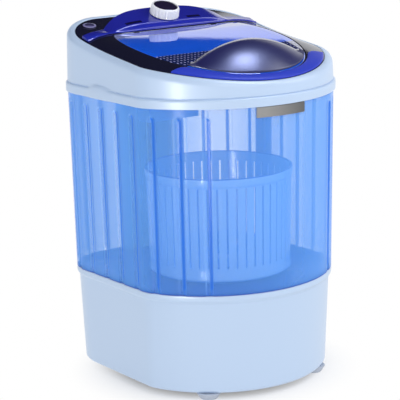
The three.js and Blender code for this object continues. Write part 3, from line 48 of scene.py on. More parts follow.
FOOT_HEIGHT, BASE_TOP, SHELL_SEAM, TANK_TOP = 10.3, 149.0, 400.0, 408.0
DRAIN_X, GLAND_X, OUTLET_Z = -92.0, 92.0, 42.0


def body_outline(inset, detail):
    """Plan of the machine drawn in by inset: a shallow bow across the front, two round front
    corners, straight sides, two round rear corners and a straight back. The last axis of the
    result but one runs round the body, counter-clockwise from the middle of the front. inset may
    be one number, one for each ring, or one for each point."""
    steps = np.array([20, 10, 12, 12, 7]) * detail
    ends = np.cumsum(steps)
    i = np.arange(2 * ends[-1])
    k = np.minimum(i, 2 * ends[-1] - i)
    side = np.where(i <= ends[-1], 1.0, -1.0)
    inset = np.atleast_1d(np.asarray(inset, float))
    half, front, back = HALF_WIDTH - inset, inset - HALF_DEPTH, HALF_DEPTH - inset
    corner, rear = FRONT_CORNER - inset, REAR_CORNER - inset
    bow = (half**2 + FRONT_BULGE**2) / (2 * FRONT_BULGE)
    corner_x, bow_y = half - corner, front + bow
    corner_y = bow_y - np.sqrt((bow - corner) ** 2 - corner_x**2)
    tangent = np.arctan2(corner_y - bow_y, corner_x)
    share = [np.clip((k - end + step) / step, 0, 1) for end, step in zip(ends, steps)]
    a = -math.pi / 2 + (tangent + math.pi / 2) * share[0]
    b = tangent * (1 - share[1])
    c = math.pi / 2 * share[3]
    where = [k < ends[0], k < ends[1], k < ends[2], k < ends[3]]
    x = np.select(where, np.broadcast_arrays(
        bow * np.cos(a), corner_x + corner * np.cos(b), half + 0 * b, half - rear + rear * np.cos(c)),
        (half - rear) * (1 - share[4]))
    y = np.select(where, np.broadcast_arrays(
        bow_y + bow * np.sin(a), corner_y + corner * np.sin(b),
        corner_y + (back - rear - corner_y) * share[2], back - rear + rear * np.sin(c)),
        back + 0 * b)
    return np.stack([side * x, y], -1)


def body_rings(profile, detail):
    """One ring of the body's plan for each pair of inset and height."""
    profile = np.asarray(profile, float)
    plan = body_outline(profile[:, :1], detail)
    height = np.broadcast_to(profile[:, 1:2], plan.shape[:2])
    return np.concatenate([plan, height[..., None]], -1)


def soften(profile, radius, closed=True):
    """Rounds each corner of a profile: the corner gives way to a parabola that starts and ends
    at radius from it along its two edges, or half an edge away where the edge is short."""
    points = np.asarray(profile, float)
    rounded = []
    for i, point in enumerate(points):
        before, after = points[i - 1], points[(i + 1) % len(points)]
        if not closed and i in (0, len(points) - 1):
            rounded.append(point)
            continue
        back, ahead = before - point, after - point
        reach_back = min(radius, np.linalg.norm(back) / 2) / max(np.linalg.norm(back), 1e-9)
        reach_ahead = min(radius, np.linalg.norm(ahead) / 2) / max(np.linalg.norm(ahead), 1e-9)
        start, end = point + back * reach_back, point + ahead * reach_ahead
        for t in np.linspace(0, 1, 4):
            rounded.append((1 - t) ** 2 * start + 2 * t * (1 - t) * point + t * t * end)
    return np.array(rounded)


def skin(rows, close_rows=False):
    """Joins each point of a grid to its neighbours with four-sided faces. Each row closes on itself,
    and the last row joins the first one if that is asked."""
    r, c = rows.shape[:2]
    i = np.arange(r if close_rows else r - 1)[:, None]
    j = np.arange(c)[None, :]
    right, up = (j + 1) % c, (i + 1) % r
    faces = np.stack([i * c + j, i * c + right, up * c + right, up * c + j], -1)
    return rows.reshape(-1, 3), faces.reshape(-1, 4)


def capped(sections):
    """Closes a row of sections at both ends by drawing each end in to its middle point."""
    first = np.broadcast_to(sections[0].mean(0), sections[0].shape)
    last = np.broadcast_to(sections[-1].mean(0), sections[-1].shape)
    return skin(np.concatenate([first[None], sections, last[None]]))


def around(radius, angle, height, centre=(0.0, 0.0)):
    """Points at a radius, a direction and a height about an upright axis through the centre."""
    x, y = centre[0] + radius * np.cos(angle), centre[1] + radius * np.sin(angle)
    return np.stack([x, y, np.broadcast_to(height, x.shape)], -1)


def turned(profile, steps, centre=(0.0, 0.0)):
    """Turns a profile of radius and height about an upright axis through the centre."""
    profile = np.asarray(profile, float)
    angle = np.linspace(0, 2 * math.pi, steps, endpoint=False)
    return around(profile[:, :1], angle, profile[:, 1:2], centre)


def block(low, high):
    """A rectangular block between two corners, as a four-sided tube with drawn-in ends."""
    (x0, y0, z0), (x1, y1, z1) = low, high
    loop = np.array([[x0, y0], [x1, y0], [x1, y1], [x0, y1]])
    rows = [np.column_stack([loop, np.full(4, z)]) for z in (z0, z1)]
    return capped(np.array(rows))


def make_piece(name, surfaces, material, sharp=35):
    """One mesh from a list of points and faces in millimetres: equal points are merged, so poles
    and seams close, and the faces are turned outward."""
    counts = np.cumsum([0] + [len(points) for points, _ in surfaces])
    points = np.concatenate([points for points, _ in surfaces]) * 0.001
    faces = np.concatenate([quads + start for (_, quads), start in zip(surfaces, counts)])
    mesh = bpy.data.meshes.new(name)
    mesh.from_pydata(points.tolist(), [], faces.tolist())
    work = bmesh.new()
    work.from_mesh(mesh)
    bmesh.ops.remove_doubles(work, verts=work.verts, dist=2e-6)
    bmesh.ops.dissolve_degenerate(work, edges=work.edges, dist=1e-6)
    bmesh.ops.recalc_face_normals(work, faces=work.faces)
    work.to_mesh(mesh)
    work.free()
    mesh.shade_smooth()
    mesh.set_sharp_from_angle(angle=math.radians(sharp))
    mesh.materials.append(material)
    piece = bpy.data.objects.new(name, mesh)
    bpy.context.collection.objects.link(piece)
    return piece


def cut_out(piece, surfaces, sharp=35):
    """Takes the volume of the given surfaces away from a piece for good."""
    cutter = make_piece(piece.name + "_cutter", surfaces, piece.data.materials[0])
    cut = piece.modifiers.new("cut", "BOOLEAN")
    cut.operation, cut.solver, cut.object = "DIFFERENCE", "EXACT", cutter
    result = bpy.data.meshes.new_from_object(piece.evaluated_get(bpy.context.evaluated_depsgraph_get()))
    piece.modifiers.clear()
    piece.data = result
    result.name = piece.name
    result.set_sharp_from_angle(angle=math.radians(sharp))
    bpy.data.objects.remove(cutter)


def fit(piece, body, slot, *nodes):
    """Mounts a finished piece on its body and hides the plain nodes it stands for; the slot given is not
    used.
    """
    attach(piece, body)
    if nodes:
        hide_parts(*nodes)


def feed(node, inputs):
    """Sets inputs of a node, by name or number, each to a value or to the output that feeds it."""
    for socket, given in inputs.items():
        if isinstance(given, bpy.types.NodeSocket):
            node.id_data.links.new(given, node.inputs[socket])
        else:
            node.inputs[socket].default_value = given
    return node


def add(tree, kind, inputs, **settings):
    """Adds a node to a tree, with its settings and its inputs."""
    node = tree.nodes.new("ShaderNode" + kind)
    for name, value in settings.items():
        setattr(node, name, value)
    return feed(node, inputs)


def ramp(given, start, end, low=0.0, high=1.0, kind="LINEAR"):
    """Runs from low to high while the given value runs from start to end."""
    return add(given.id_data, "MapRange", {
        "Value": given, "From Min": start, "From Max": end, "To Min": low, "To Max": high,
    }, interpolation_type=kind).outputs["Result"]


def blend(factor, first, second):
    """The first colour where the factor is 0 and the second one where it is 1."""
    return add(factor.id_data, "Mix", {"Factor": factor, "A": first, "B": second},
               data_type="RGBA").outputs["Result"]


def calc(operation, *values):
    """One step of arithmetic on values, the first of which comes from a node."""
    return add(values[0].id_data, "Math", dict(enumerate(values)), operation=operation).outputs["Value"]


def object_place(tree):
    """The point of the object that is being shaded."""
    return add(tree, "TexCoord", {}).outputs["Object"]


def object_axes(tree):
    """The same point's width X, depth Y and height Z."""
    return add(tree, "SeparateXYZ", {"Vector": object_place(tree)}).outputs


def finish_group(name, inputs):
    """An empty node group for a finish that gives a colour, a roughness and a height."""
    group = bpy.data.node_groups.new(name, "ShaderNodeTree")
    outputs = {"Colour": "Color", "Roughness": "Float", "Height": "Float"}
    for side, sockets in (("INPUT", inputs), ("OUTPUT", outputs)):
        for label, kind in sockets.items():
            group.interface.new_socket(name=label, in_out=side, socket_type="NodeSocket" + kind)
    return group, group.nodes.new("NodeGroupInput").outputs, group.nodes.new("NodeGroupOutput")


def moulded_group():
    """Finish of a moulded part: two tones that drift slowly into each other as the melt flowed,
    a fine satin grain, and a few soft rubs where hands and cloths have been."""
    group, given, out = finish_group("moulded finish", {
        "Main": "Color", "Second": "Color", "Roughness": "Float", "Grain": "Float"})
    place = object_place(group)
    drift = add(group, "TexNoise", {"Vector": place, "Scale": 7.0, "Detail": 3.0}).outputs["Fac"]
    grain = add(group, "TexNoise", {"Vector": place, "Scale": given["Grain"], "Detail": 2.0}).outputs["Fac"]
    rubs = add(group, "TexNoise", {"Vector": place, "Scale": 16.0, "Detail": 2.0}).outputs["Fac"]
    feed(out, {"Colour": blend(drift, given["Main"], given["Second"]), "Height": grain,
               "Roughness": calc("MULTIPLY", ramp(rubs, 0.3, 0.8, 0.97, 1.06), given["Roughness"])})
    return group


MOULDED = moulded_group()


def shader_of(material):
    """The Principled shader of a material."""
    return material.node_tree.nodes["Principled BSDF"]


def fed_by(socket):
    """The output that feeds an input now."""
    return socket.links[0].from_socket


def with_finish(name, group, inputs, strength, depth):
    """A material that wears a finish group, its height raised as a bump of a strength and depth."""
    material = bpy.data.materials.new(name)
    material.use_nodes = True
    look = add(material.node_tree, "Group", inputs, node_tree=group).outputs
    relief = add(material.node_tree, "Bump", {
        "Strength": strength, "Distance": depth, "Height": look["Height"]}).outputs["Normal"]
    feed(shader_of(material), {
        "Base Color": look["Colour"], "Roughness": look["Roughness"], "Normal": relief})
    return material


def finish(name, main, second, rough, grain, bump, coat=0.0):
    """A solid material with the moulded finish on it, and a clear coat of an even weight."""
    material = with_finish(name, MOULDED, {
        "Main": (*main, 1), "Second": (*second, 1), "Roughness": rough, "Grain": grain}, bump, 0.0004)
    feed(shader_of(material), {"Coat Weight": coat, "Coat Roughness": 0.06})
    return material


def repaint(material, mask, tone, glows=False):
    """Lays a tone over a material's colour where the mask is 1, and over its painted glow if that is asked.
    """
    shader = shader_of(material)
    colour = blend(mask, fed_by(shader.inputs["Base Color"]), (*tone, 1))
    for name in ("Base Color", "Emission Color")[: 1 + glows]:
        feed(shader, {name: colour})


shell_white = finish("shell white", (0.535, 0.675, 0.88), (0.53, 0.67, 0.87), 0.34, 700, 0.03)

lip_bottom = BASE_TOP - 8
base_profile = soften([
    (26.6, FOOT_HEIGHT), (18.6, FOOT_HEIGHT), (14.6, FOOT_HEIGHT + 4), (9.6, lip_bottom - 3.4),
    (6.2, lip_bottom), (6.2, BASE_TOP), (9.2, BASE_TOP), (9.2, lip_bottom),
    (12.6, lip_bottom - 3.4), (17.6, FOOT_HEIGHT + 4), (26.6, FOOT_HEIGHT + 3),
], 1.6)
base = make_piece("base_moulding", [skin(body_rings(base_profile, 2), True)], shell_white)
VENT_HALF, VENT_LOW, VENT_HIGH, BACK_FROM, BACK_TO = 1.7, 60.3, 96.3, 132, 172
vents = [block((x - VENT_HALF, BACK_FROM, VENT_LOW), (x + VENT_HALF, BACK_TO, VENT_HIGH))
         for x in np.arange(-32, 33, 8.0)]


def rod_along_y(radius, x, z, y0, y1):
    """A round rod along the depth with drawn-in ends."""
    angle = np.linspace(0, 2 * math.pi, 48, endpoint=False)
    circle = np.stack([x + radius * np.cos(angle), 0 * angle, z + radius * np.sin(angle)], -1)
    return capped(np.array([circle + (0, y, 0) for y in (y0, y1)]))


pipe_holes = [rod_along_y(radius, x, OUTLET_Z, BACK_FROM, BACK_TO)
              for radius, x in ((9.3, DRAIN_X), (7.3, GLAND_X))]
cut_out(base, vents + pipe_holes)
fit(base, "cabinet", "shell_white", "base_housing")

# ---------------------------------------------------------------- feet and bottom cover
# Four soft grey-white rubber feet are pushed into the base from below. The flat cover of grey
# plastic closes the base inside its flange; it is only seen from underneath.
foot_rubber = finish("foot rubber", (0.50, 0.55, 0.64), (0.44, 0.49, 0.58), 0.62, 500, 0.25)
cover_grey = finish("cover grey", (0.16, 0.17, 0.18), (0.13, 0.14, 0.15), 0.6, 500, 0.3)
foot_profile = soften([(0, 0), (10.8, 0), (12, 1.2), (17, 8.8), (15.8, 10), (0, 10)], 0.8, False)
for label, x, y in (("front_left", -91, -110), ("front_right", 91, -110),
                    ("rear_left", -103, 112), ("rear_right", 103, 112)):
    foot = make_piece("rubber_foot_" + label, [skin(turned(foot_profile, 64, (x, y)))], foot_rubber)
    fit(foot, "cabinet", "foot_rubber", "foot_" + label)
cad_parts["bottom_cover"].data.materials[0] = cover_grey

# ---------------------------------------------------------------- wash tank
# The tank is one clear blue styrene moulding that stands in the base's lip and leans out a little
# as it rises. Upright round grooves stiffen its wall and stop short of the top shell. Its floor
# dips into a round well, and a channel down its back holds the wiring.
TANK_FOOT, TANK_LEAN, TANK_WALL, SPIN_Y = 6.2, 3.7, 2.6, -17.5
WELL_RADIUS, WELL_FLOOR = 80.0, 133.6
CHANNEL_HALF, CHANNEL_FRONT = 46.0, 146.1
GROOVES, GROOVE_RADIUS, GROOVE_DEPTH, GROOVE_PITCH, GROOVE_TOP = 11, 8.5625, 2.0, 37.0, 383.4


def tank_lean(z):
    """Set-back of the tank's outer face, falling evenly from its foot to its top."""
    return TANK_FOOT - TANK_LEAN * np.clip((z - BASE_TOP) / (SHELL_SEAM - BASE_TOP), 0, 1)


def groove_line(detail):
    """The tank's foot outline, the distance run along its right half from the front, and where on
    that run the grooves are: at even steps, from three steps behind the first one on the side."""
    ring = body_outline(TANK_FOOT, detail)
    half = ring[: len(ring) // 2 + 1]
    run = np.concatenate([[0], np.cumsum(np.linalg.norm(np.diff(half, axis=0), axis=1))])
    beside = (half[:, 0] > 20) & (half[:, 1] >= 107)
    return ring, run, run[np.argmax(beside)] + 3 * GROOVE_PITCH - GROOVE_PITCH * np.arange(GROOVES)


def groove_distance(detail):
    """Distance round the outline from each point to the nearest groove's middle."""
    _, run, middles = groove_line(detail)
    along = np.concatenate([run, run[1:-1][::-1]])
    return np.abs(along[:, None] - middles).min(1)


def groove_depth(near, z, grow):
    """How far a groove goes in: a round bar of the groove's radius lies along the wall, with a ball
    at its upper end, and grow widens it for the ridge on the inside. Its edge is eased: the depth
    and the root of its square plus a fifth are averaged."""
    above = np.maximum(0, z - GROOVE_TOP)
    left = (GROOVE_RADIUS + grow) ** 2 - near**2 - above**2
    depth = np.sqrt(np.maximum(0, left)) - (GROOVE_RADIUS - GROOVE_DEPTH) - grow
    return (depth + np.sqrt(depth**2 + 0.2)) / 2


def tank_rings(profile, detail, grow, channel):
    """Rings of the tank's wall: set back and leaning, with the grooves pressed in, and cut off
    straight where the channel runs down the back."""
    profile = np.asarray(profile, float)
    z = profile[:, 1:2]
    inset = profile[:, :1] + tank_lean(z) + groove_depth(groove_distance(detail), z, grow)
    plan = body_outline(inset, detail)
    in_channel = (np.abs(plan[..., 0]) < CHANNEL_HALF + channel) & (plan[..., 1] > 100)
    plan[..., 1] = np.where(in_channel, np.minimum(plan[..., 1], CHANNEL_FRONT - channel), plan[..., 1])
    return np.concatenate([plan, np.broadcast_to(z, plan.shape[:2])[..., None]], -1)


def round_rings(profile, detail):
    """Rings of the well and the shaft hole, point for point beside those of the wall."""
    ring = body_outline(30.0, detail)
    angle = np.arctan2(ring[:, 1] - SPIN_Y, ring[:, 0])
    profile = np.asarray(profile, float)
    return around(profile[:, :1], angle, profile[:, 1:2], (0, SPIN_Y))


def paint_groove_shading(piece, detail):
    """Marks painted shade and painted highlight along the grooves on the mesh for the material: just
    past the middle of a groove the mark rises to 1 as a bell curve for the painted shade, and at the
    groove's other edge it dips to -1 as a narrower one for the painted highlight."""
    ring, run, middles = groove_line(detail)
    along = np.concatenate([run, -run[1:-1][::-1]])
    angle = np.arctan2(ring[:, 1], ring[:, 0])
    order = np.argsort(angle)
    points = np.empty(len(piece.data.vertices) * 3)
    piece.data.vertices.foreach_get("co", points)
    x, y, z = points.reshape(-1, 3).T * 1000
    place = np.interp(np.arctan2(y, x), angle[order], along[order], period=2 * math.pi)
    past = np.abs(place)[:, None] - middles
    nearest = past[np.arange(len(place)), np.abs(past).argmin(1)] * np.sign(place)
    reach = np.sign(nearest) * np.hypot(nearest, np.maximum(0, z - GROOVE_TOP))
    # Where the painted shade and the painted highlight lie across a groove, and how wide each is.
    shade_at, shade_width, highlight_at, highlight_width = 2.6, 2.3, -5.0, 1.2
    groove_shading = (np.exp(-(((reach - shade_at) / shade_width) ** 2))
            - np.exp(-(((reach - highlight_at) / highlight_width) ** 2)))
    attribute = piece.data.attributes.new("groove", "FLOAT", "POINT")
    attribute.data.foreach_set("value", groove_shading * (z > BASE_TOP + 1) * (np.abs(reach) < 12))


def clear_blue(name, deep, pale, least, most, rough):
    """Clear coloured plastic: it covers what lies behind it a little seen square on and nearly
    wholly seen along the surface, and its colour goes from pale to deep the same way. It lets most
    light through to the floor. It also glows faintly in its own colour: a painted glow that stands
    in for the light the plastic carries inside it."""
    material = with_finish(name, MOULDED, {
        "Main": (*pale, 1), "Second": (*(0.92 * v for v in pale), 1), "Roughness": rough, "Grain": 60,
    }, 0.12, 0.0006)
    shader = shader_of(material)
    slant = add(material.node_tree, "LayerWeight", {"Blend": 0.5}).outputs["Facing"]
    shadow = add(material.node_tree, "LightPath", {}).outputs["Is Shadow Ray"]
    tint = blend(slant, fed_by(shader.inputs["Base Color"]), (*deep, 1))
    cover = calc("MULTIPLY", ramp(slant, 0, 1, least, most), ramp(shadow, 0, 1, 1.0, 0.06))
    # Painted glow: the plastic's tint is also given out as a faint emission.
    feed(shader, {"Base Color": tint, "Alpha": cover, "Emission Color": tint, "Emission Strength": 0.08})
    return material


def tank_material():
    """The clear blue, with the colour deeper and denser on the floor, below the height of the base's
    top. Each groove carries painted shade, deeper and denser just past its middle where the wall is
    seen aslant, and a painted highlight, paler along its other edge; both tint the glow as well."""
    material = clear_blue("tank blue", (0.10, 0.36, 0.90), (0.18, 0.48, 0.96), 0.21, 0.74, 0.2)
    tree, shader = material.node_tree, shader_of(material)
    height = object_axes(tree)["Z"]
    groove_shading = add(tree, "Attribute", {}, attribute_name="groove").outputs["Fac"]
    # First the deeper floor, then the painted shade in each groove, then the painted highlight at its edge.
    for given, start, end, top, tone, dense in (
            (height, 0.1506, 0.1494, 0.97, (0.0, 0.025, 0.42), 0.85),
            (groove_shading, 0.05, 0.8, 0.9, (0.012, 0.15, 0.70), 0.5),
            (groove_shading, -0.1, -0.9, 0.5, (0.30, 0.58, 0.99), 0.15)):
        mask = ramp(given, start, end, 0.0, top, "SMOOTHSTEP")
        cover = add(tree, "Math", {0: mask, 1: dense, 2: fed_by(shader.inputs["Alpha"])},
                    operation="MULTIPLY_ADD", use_clamp=True)
        feed(shader, {"Alpha": cover.outputs["Value"]})
        repaint(material, mask, tone, True)
    feed(shader, {"Specular IOR Level": 0.2})
    return material


tank_blue = tank_material()
fine, DRAIN_HOLE = 6, (DRAIN_X, 92)
outer_z = np.concatenate([[BASE_TOP + SEAT_GAP, 160], np.linspace(170, 380, 8),
                          np.linspace(382, 394, 13), [397, SHELL_SEAM, TANK_TOP - 0.8]])
inner_z = outer_z[::-1].copy()
inner_z[0], inner_z[-1] = TANK_TOP - 0.8, BASE_TOP + 1
outside = tank_rings([(0, z) for z in outer_z], fine, 0, 0)
brim = tank_rings([(0.6, TANK_TOP), (TANK_WALL - 0.6, TANK_TOP)], fine, 0, TANK_WALL / 2)
inside = tank_rings([(TANK_WALL, z) for z in inner_z], fine, TANK_WALL, TANK_WALL)
floor = tank_rings([(TANK_WALL + 1, BASE_TOP)], fine, TANK_WALL, TANK_WALL)
well = round_rings([(WELL_RADIUS + 2, BASE_TOP), (WELL_RADIUS, BASE_TOP - 2), (WELL_RADIUS, WELL_FLOOR + 2),
                    (WELL_RADIUS - 2, WELL_FLOOR), (11.3, WELL_FLOOR), (11.3, WELL_FLOOR - TANK_WALL),
                    (WELL_RADIUS + 1, WELL_FLOOR - TANK_WALL), (WELL_RADIUS + TANK_WALL, WELL_FLOOR - 1),
                    (WELL_RADIUS + TANK_WALL, BASE_TOP - TANK_WALL)], fine)
skirt = tank_rings([(5.9, BASE_TOP - TANK_WALL), (5.9, BASE_TOP - 7), (3.3, BASE_TOP - 7),
                    (3.3, BASE_TOP + SEAT_GAP)], fine, 0, 0)
tank_loop = np.concatenate([outside, brim, inside, floor, well, skirt])
tank = make_piece("clear_tank", [skin(tank_loop, True)], tank_blue, 50)
cut_out(tank, [skin(turned([(0, 140), (7, 140), (7, 156), (0, 156)], 48, DRAIN_HOLE))], 50)
paint_groove_shading(tank, fine)
fit(tank, "cabinet", "tank_blue", "wash_tank")

# ---------------------------------------------------------------- duct cover, filter, loom and seal
# A white cover closes the wiring channel at the back and is held by four small screws. Inside the
# tank stand the overflow filter on the right wall and, in its channel, the loom up to the timer.
# A soft black seal ring keeps the joint between the tank and the top shell tight.
filter_blue = clear_blue("filter blue", (0.03, 0.12, 0.55), (0.12, 0.32, 0.8), 0.5, 0.95, 0.2)
loom_black = finish("loom black", (0.018, 0.018, 0.022), (0.03, 0.03, 0.035), 0.6, 260, 0.5)
seal_rubber = finish("seal rubber", (0.02, 0.02, 0.024), (0.035, 0.035, 0.04), 0.75, 420, 0.4)
pipe_grey = finish("pipe grey", (0.26, 0.28, 0.31), (0.21, 0.23, 0.26), 0.5, 600, 0.2)
for node, look in (("rear_duct_cover", shell_white), ("overflow_filter", filter_blue),
                   ("wiring_loom", loom_black), ("tank_gasket", seal_rubber),
                   ("shaft_seal", seal_rubber), ("cord_gland", seal_rubber),
                   ("drain_elbow", pipe_grey), ("drain_outlet", pipe_grey)):
    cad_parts[node].data.materials[0] = look

# ---------------------------------------------------------------- top shell
# The top shell is a white moulding with a lip that overlaps the tank. It is low in front and sweeps
# up to the back in a soft S, with a round shoulder all the way round the rim. A small bulge on each
# side, just above the seam, gives the fingers a hold.
RIM_FRONT, RIM_MIDDLE, RIM_BACK, RIM_SLOPE = 28.3, 57.8, 98.5, 0.131
RIM_ROUND, RIM_INSET, RIM_INSET_PER_RISE = 9.0, 9.9, 0.065
WALL_INSET, WALL_INSET_PER_RISE = 2.4, 0.018
BUMP_Y, BUMP_LENGTH, BUMP_HEIGHT, BUMP_DEPTH, BUMP_ROUNDNESS = 29.5, 72.0, 19.0, 3.0, 0.34


def rim_height(y):
    """Height of the rim along the depth: a cubic that meets the front, middle and rear rises, with
    the middle's own slope."""
    u = y / HALF_DEPTH
    slope = RIM_SLOPE * HALF_DEPTH
    even, odd = (RIM_FRONT + RIM_BACK) / 2 - RIM_MIDDLE, (RIM_BACK - RIM_FRONT) / 2 - slope
    return SHELL_SEAM + RIM_MIDDLE + slope * u + even * u**2 + odd * u**3


def rim_rings(profile, detail):
    """Rings near the rim, one for each share, drop and extra inset. The share runs from the outer
    wall to the deck's edge; both draw in as the rim rises. The drop is taken off the rim's height."""
    share, drop, extra = (column[:, None] for column in np.asarray(profile, float).T)
    rise = rim_height(body_outline(0, detail)[:, 1]) - SHELL_SEAM
    wall = WALL_INSET + WALL_INSET_PER_RISE * rise
    inset = wall + (RIM_INSET + RIM_INSET_PER_RISE * rise - wall) * share + extra
    plan = body_outline(inset, detail)
    return np.concatenate([plan, (rim_height(plan[..., 1]) - drop)[..., None]], -1)


def bulged(rings):
    """Pushes the wall out to a lens on each side wherever the lens stands proud of it. Its thickness
    is a power of 1 less the squares of both distances from its middle, each counted in half sizes."""
    x, y, z = rings[..., 0], rings[..., 1], rings[..., 2]
    middle = SHELL_SEAM + BUMP_HEIGHT / 2 - 6
    left = 1 - ((y - BUMP_Y) / (BUMP_LENGTH / 2)) ** 2 - ((z - middle) / (BUMP_HEIGHT / 2 + 6)) ** 2
    proud = HALF_WIDTH - 4.2 + (BUMP_DEPTH + 4) * np.maximum(0, left) ** BUMP_ROUNDNESS
    rings[..., 0] = np.where(left > 0, np.sign(x) * np.maximum(np.abs(x), proud), x)
    return rings


turn = np.radians(np.linspace(0, 90, 10))
shoulder = rim_rings([(0.92 * (1 - math.cos(t)), RIM_ROUND * (1 - math.sin(t)), 0) for t in turn], 2)
wall_foot = body_rings([(inset, SHELL_SEAM + up) for inset, up in (
    (0, 0.5), (0, 3), (0, 6), (0, 9), (0.2, 11), (1, 12.1), (2.2, 12.6), (3.3, 12.8), (3.3, 13.6))], 2)
above_lip = body_rings([(2.42, SHELL_SEAM + 14.2)], 2)
rise_rows = [shoulder[0] + (above_lip[0] - shoulder[0]) * t for t in np.linspace(1, 0, 26)[:-1]]
outer_wall = bulged(np.concatenate([wall_foot, rise_rows]))
crown = rim_rings([(0.97, 0.1, 0), (1, 0.6, 0), (1, 1.2, 0.1), (1, 3.4, 0.2), (1, 3.4, 5), (1, 6.4, 5),
                   (0, RIM_ROUND + 3, 4)], 2)
under = body_rings([(inset, SHELL_SEAM + up) for inset, up in (
    (6.4, 14), (6.4, 9.7), (2.2, 9.7), (2.2, 0.5), (1.8, 0), (0.5, 0))], 2)
shell = make_piece("shell_moulding", [skin(np.concatenate([outer_wall, shoulder[1:], crown, under]), True)],
                   shell_white)
fit(shell, "cabinet", "shell_white", "top_shell")

# ---------------------------------------------------------------- front plate
# A thin brushed metal plate, bare, is glued to the tank just under the shell's lip. It is bent to
# # the front, its bevelled upper edge shows a bright line, and it is painted darker towards its right end, as
# shade.
PLATE_WIDTH, PLATE_HEIGHT, PLATE_X, PLATE_THICK = 77.0, 14.2, -6.0, 1.5


def brushed_group():
    """Brushed metal: long scratches side by side, from noise stretched far along one direction."""
    group, given, out = finish_group("brushed metal", {
        "Main": "Color", "Second": "Color", "Stretch": "Vector", "Roughness": "Float"})
    place = add(group, "VectorMath", {0: object_place(group), 1: given["Stretch"]}, operation="MULTIPLY")
    scratches = add(group, "TexNoise", {
        "Vector": place.outputs["Vector"], "Scale": 1.0, "Detail": 5.0}).outputs["Fac"]
    feed(out, {"Colour": blend(scratches, given["Main"], given["Second"]), "Height": scratches,
               "Roughness": calc("MULTIPLY", ramp(scratches, 0, 1, 0.7, 1.4), given["Roughness"])})
    return group


BRUSHED = brushed_group()


def metal(name, main, second, rough, stretch, metallic=1.0, bump=0.15):
    """A metal with the brushed finish. stretch is the number of scratches to a metre each way."""
    material = with_finish(name, BRUSHED, {
        "Main": (*main, 1), "Second": (*second, 1), "Stretch": stretch, "Roughness": rough}, bump, 0.0002)
    feed(shader_of(material), {"Metallic": metallic})
    return material


def front_y(x, inset):
    """Depth of the bowed front at a distance from the middle and an inset."""
    half = HALF_WIDTH - inset
    bow = (half**2 + FRONT_BULGE**2) / (2 * FRONT_BULGE)
    return inset - HALF_DEPTH + bow - np.sqrt(bow**2 - x**2)


plate_metal = metal("plate metal", (0.34, 0.335, 0.325), (0.28, 0.275, 0.27), 0.42, (30, 30, 1500), 0.25)
# Painted shade: the plate is painted darker towards its right end.
repaint(plate_metal, ramp(object_axes(plate_metal.node_tree)["X"], -0.030, 0.032), (0.11, 0.112, 0.115))
across = np.linspace(PLATE_X - PLATE_WIDTH / 2, PLATE_X + PLATE_WIDTH / 2, 25)
low, high = SHELL_SEAM - PLATE_HEIGHT, SHELL_SEAM - SEAT_GAP
plate_section = soften([(0, low), (PLATE_THICK, low), (PLATE_THICK, high - 0.7), (PLATE_THICK - 0.7, high),
                        (0, high)], 0.25)
x = np.repeat(across[:, None], len(plate_section), 1)
z = np.broadcast_to(plate_section[:, 1], x.shape)
y = front_y(x, tank_lean(z) - SEAT_GAP - plate_section[:, 0])
plate = make_piece("bare_plate", [capped(np.stack([x, y, z], -1))], plate_metal, 25)
fit(plate, "cabinet", "plate_metal", "front_plate")

# ---------------------------------------------------------------- deck
# The deck is a glossy black moulding that dishes down from the rim to the lid, with a collar round
# the opening. It clips in from above. Two lugs at the back of its recess carry the lid's hinges, and
# a hole in its rear left corner takes the water inlet.
LID_HALF, LID_REACH, HINGE_LINE, LID_POWER = 120.7, 142.0, 82.0, 2.15
LID_RISE, LID_SLOPE, LID_BOW_RADIUS, LUG_X = 67.4, 0.156, 1500.0, 66.0
LID_GAP, LID_THICK, BARREL, HINGE_Y = 1.3, 3.0, 3.0, 78.6
DECK_WALL, DECK_CROWN, OPENING_INSET = 2.6, 0.35, 10.0
INLET_X, INLET_Y, INLET_RADIUS = -108.5, 132.5, 7.8


def lid_height(y):
    """Height of the lid's top: a slope up to the back, less the fall of a long even bow."""
    return SHELL_SEAM + LID_RISE + LID_SLOPE * y - y**2 / (2 * LID_BOW_RADIUS)


def lid_reach(angle, grow, rear_grow):
    """Distance from the middle to the lid's outline, grown outwards: a squared-off oval, cut
    straight along the hinge line."""
    across, along = np.abs(np.cos(angle)) / (LID_HALF + grow), np.abs(np.sin(angle)) / (LID_REACH + grow)
    oval = (across**LID_POWER + along**LID_POWER) ** (-1 / LID_POWER)
    straight = (HINGE_LINE + rear_grow) / np.maximum(np.sin(angle), 1e-6)
    return np.minimum(oval, np.where(np.sin(angle) > 0, straight, 1e9))


deck_edge = rim_rings([(1, 0.4, SEAT_GAP)], 3)[0]
edge_angle = np.arctan2(deck_edge[:, 1], deck_edge[:, 0])
edge_order = np.argsort(edge_angle)
edge_angle, edge_reach = edge_angle[edge_order], np.hypot(*deck_edge[edge_order, :2].T)


def outer_reach(angle):
    """Distance from the middle to the deck's outer edge in a direction."""
    return np.interp(angle, edge_angle, edge_reach, period=2 * math.pi)


def deck_point(angle, share, lower=0.0):
    """Point of the deck on the way from the rim at share 0 to the lid's gap at share 1. Its height
    runs between the two edges, ahead of the share by a crown that is greatest midway."""
    outer, inner = outer_reach(angle), lid_reach(angle, LID_GAP, LID_GAP)
    radius = outer + (inner - outer) * share
    rim_z = rim_height(outer * np.sin(angle)) - 0.4
    lid_z = lid_height(inner * np.sin(angle)) - 0.2
    z = rim_z + (lid_z - rim_z) * (share + DECK_CROWN * share * (1 - share)) - lower
    return np.stack([radius * np.cos(angle), radius * np.sin(angle), z], -1)


def deck_height(x, y):
    """Height of the deck's top over a point of the plan."""
    angle = np.arctan2(y, x)
    outer, inner = outer_reach(angle), lid_reach(angle, LID_GAP, LID_GAP)
    share = np.clip((outer - np.hypot(x, y)) / (outer - inner), 0, 1)
    return deck_point(angle, share)[..., 2]


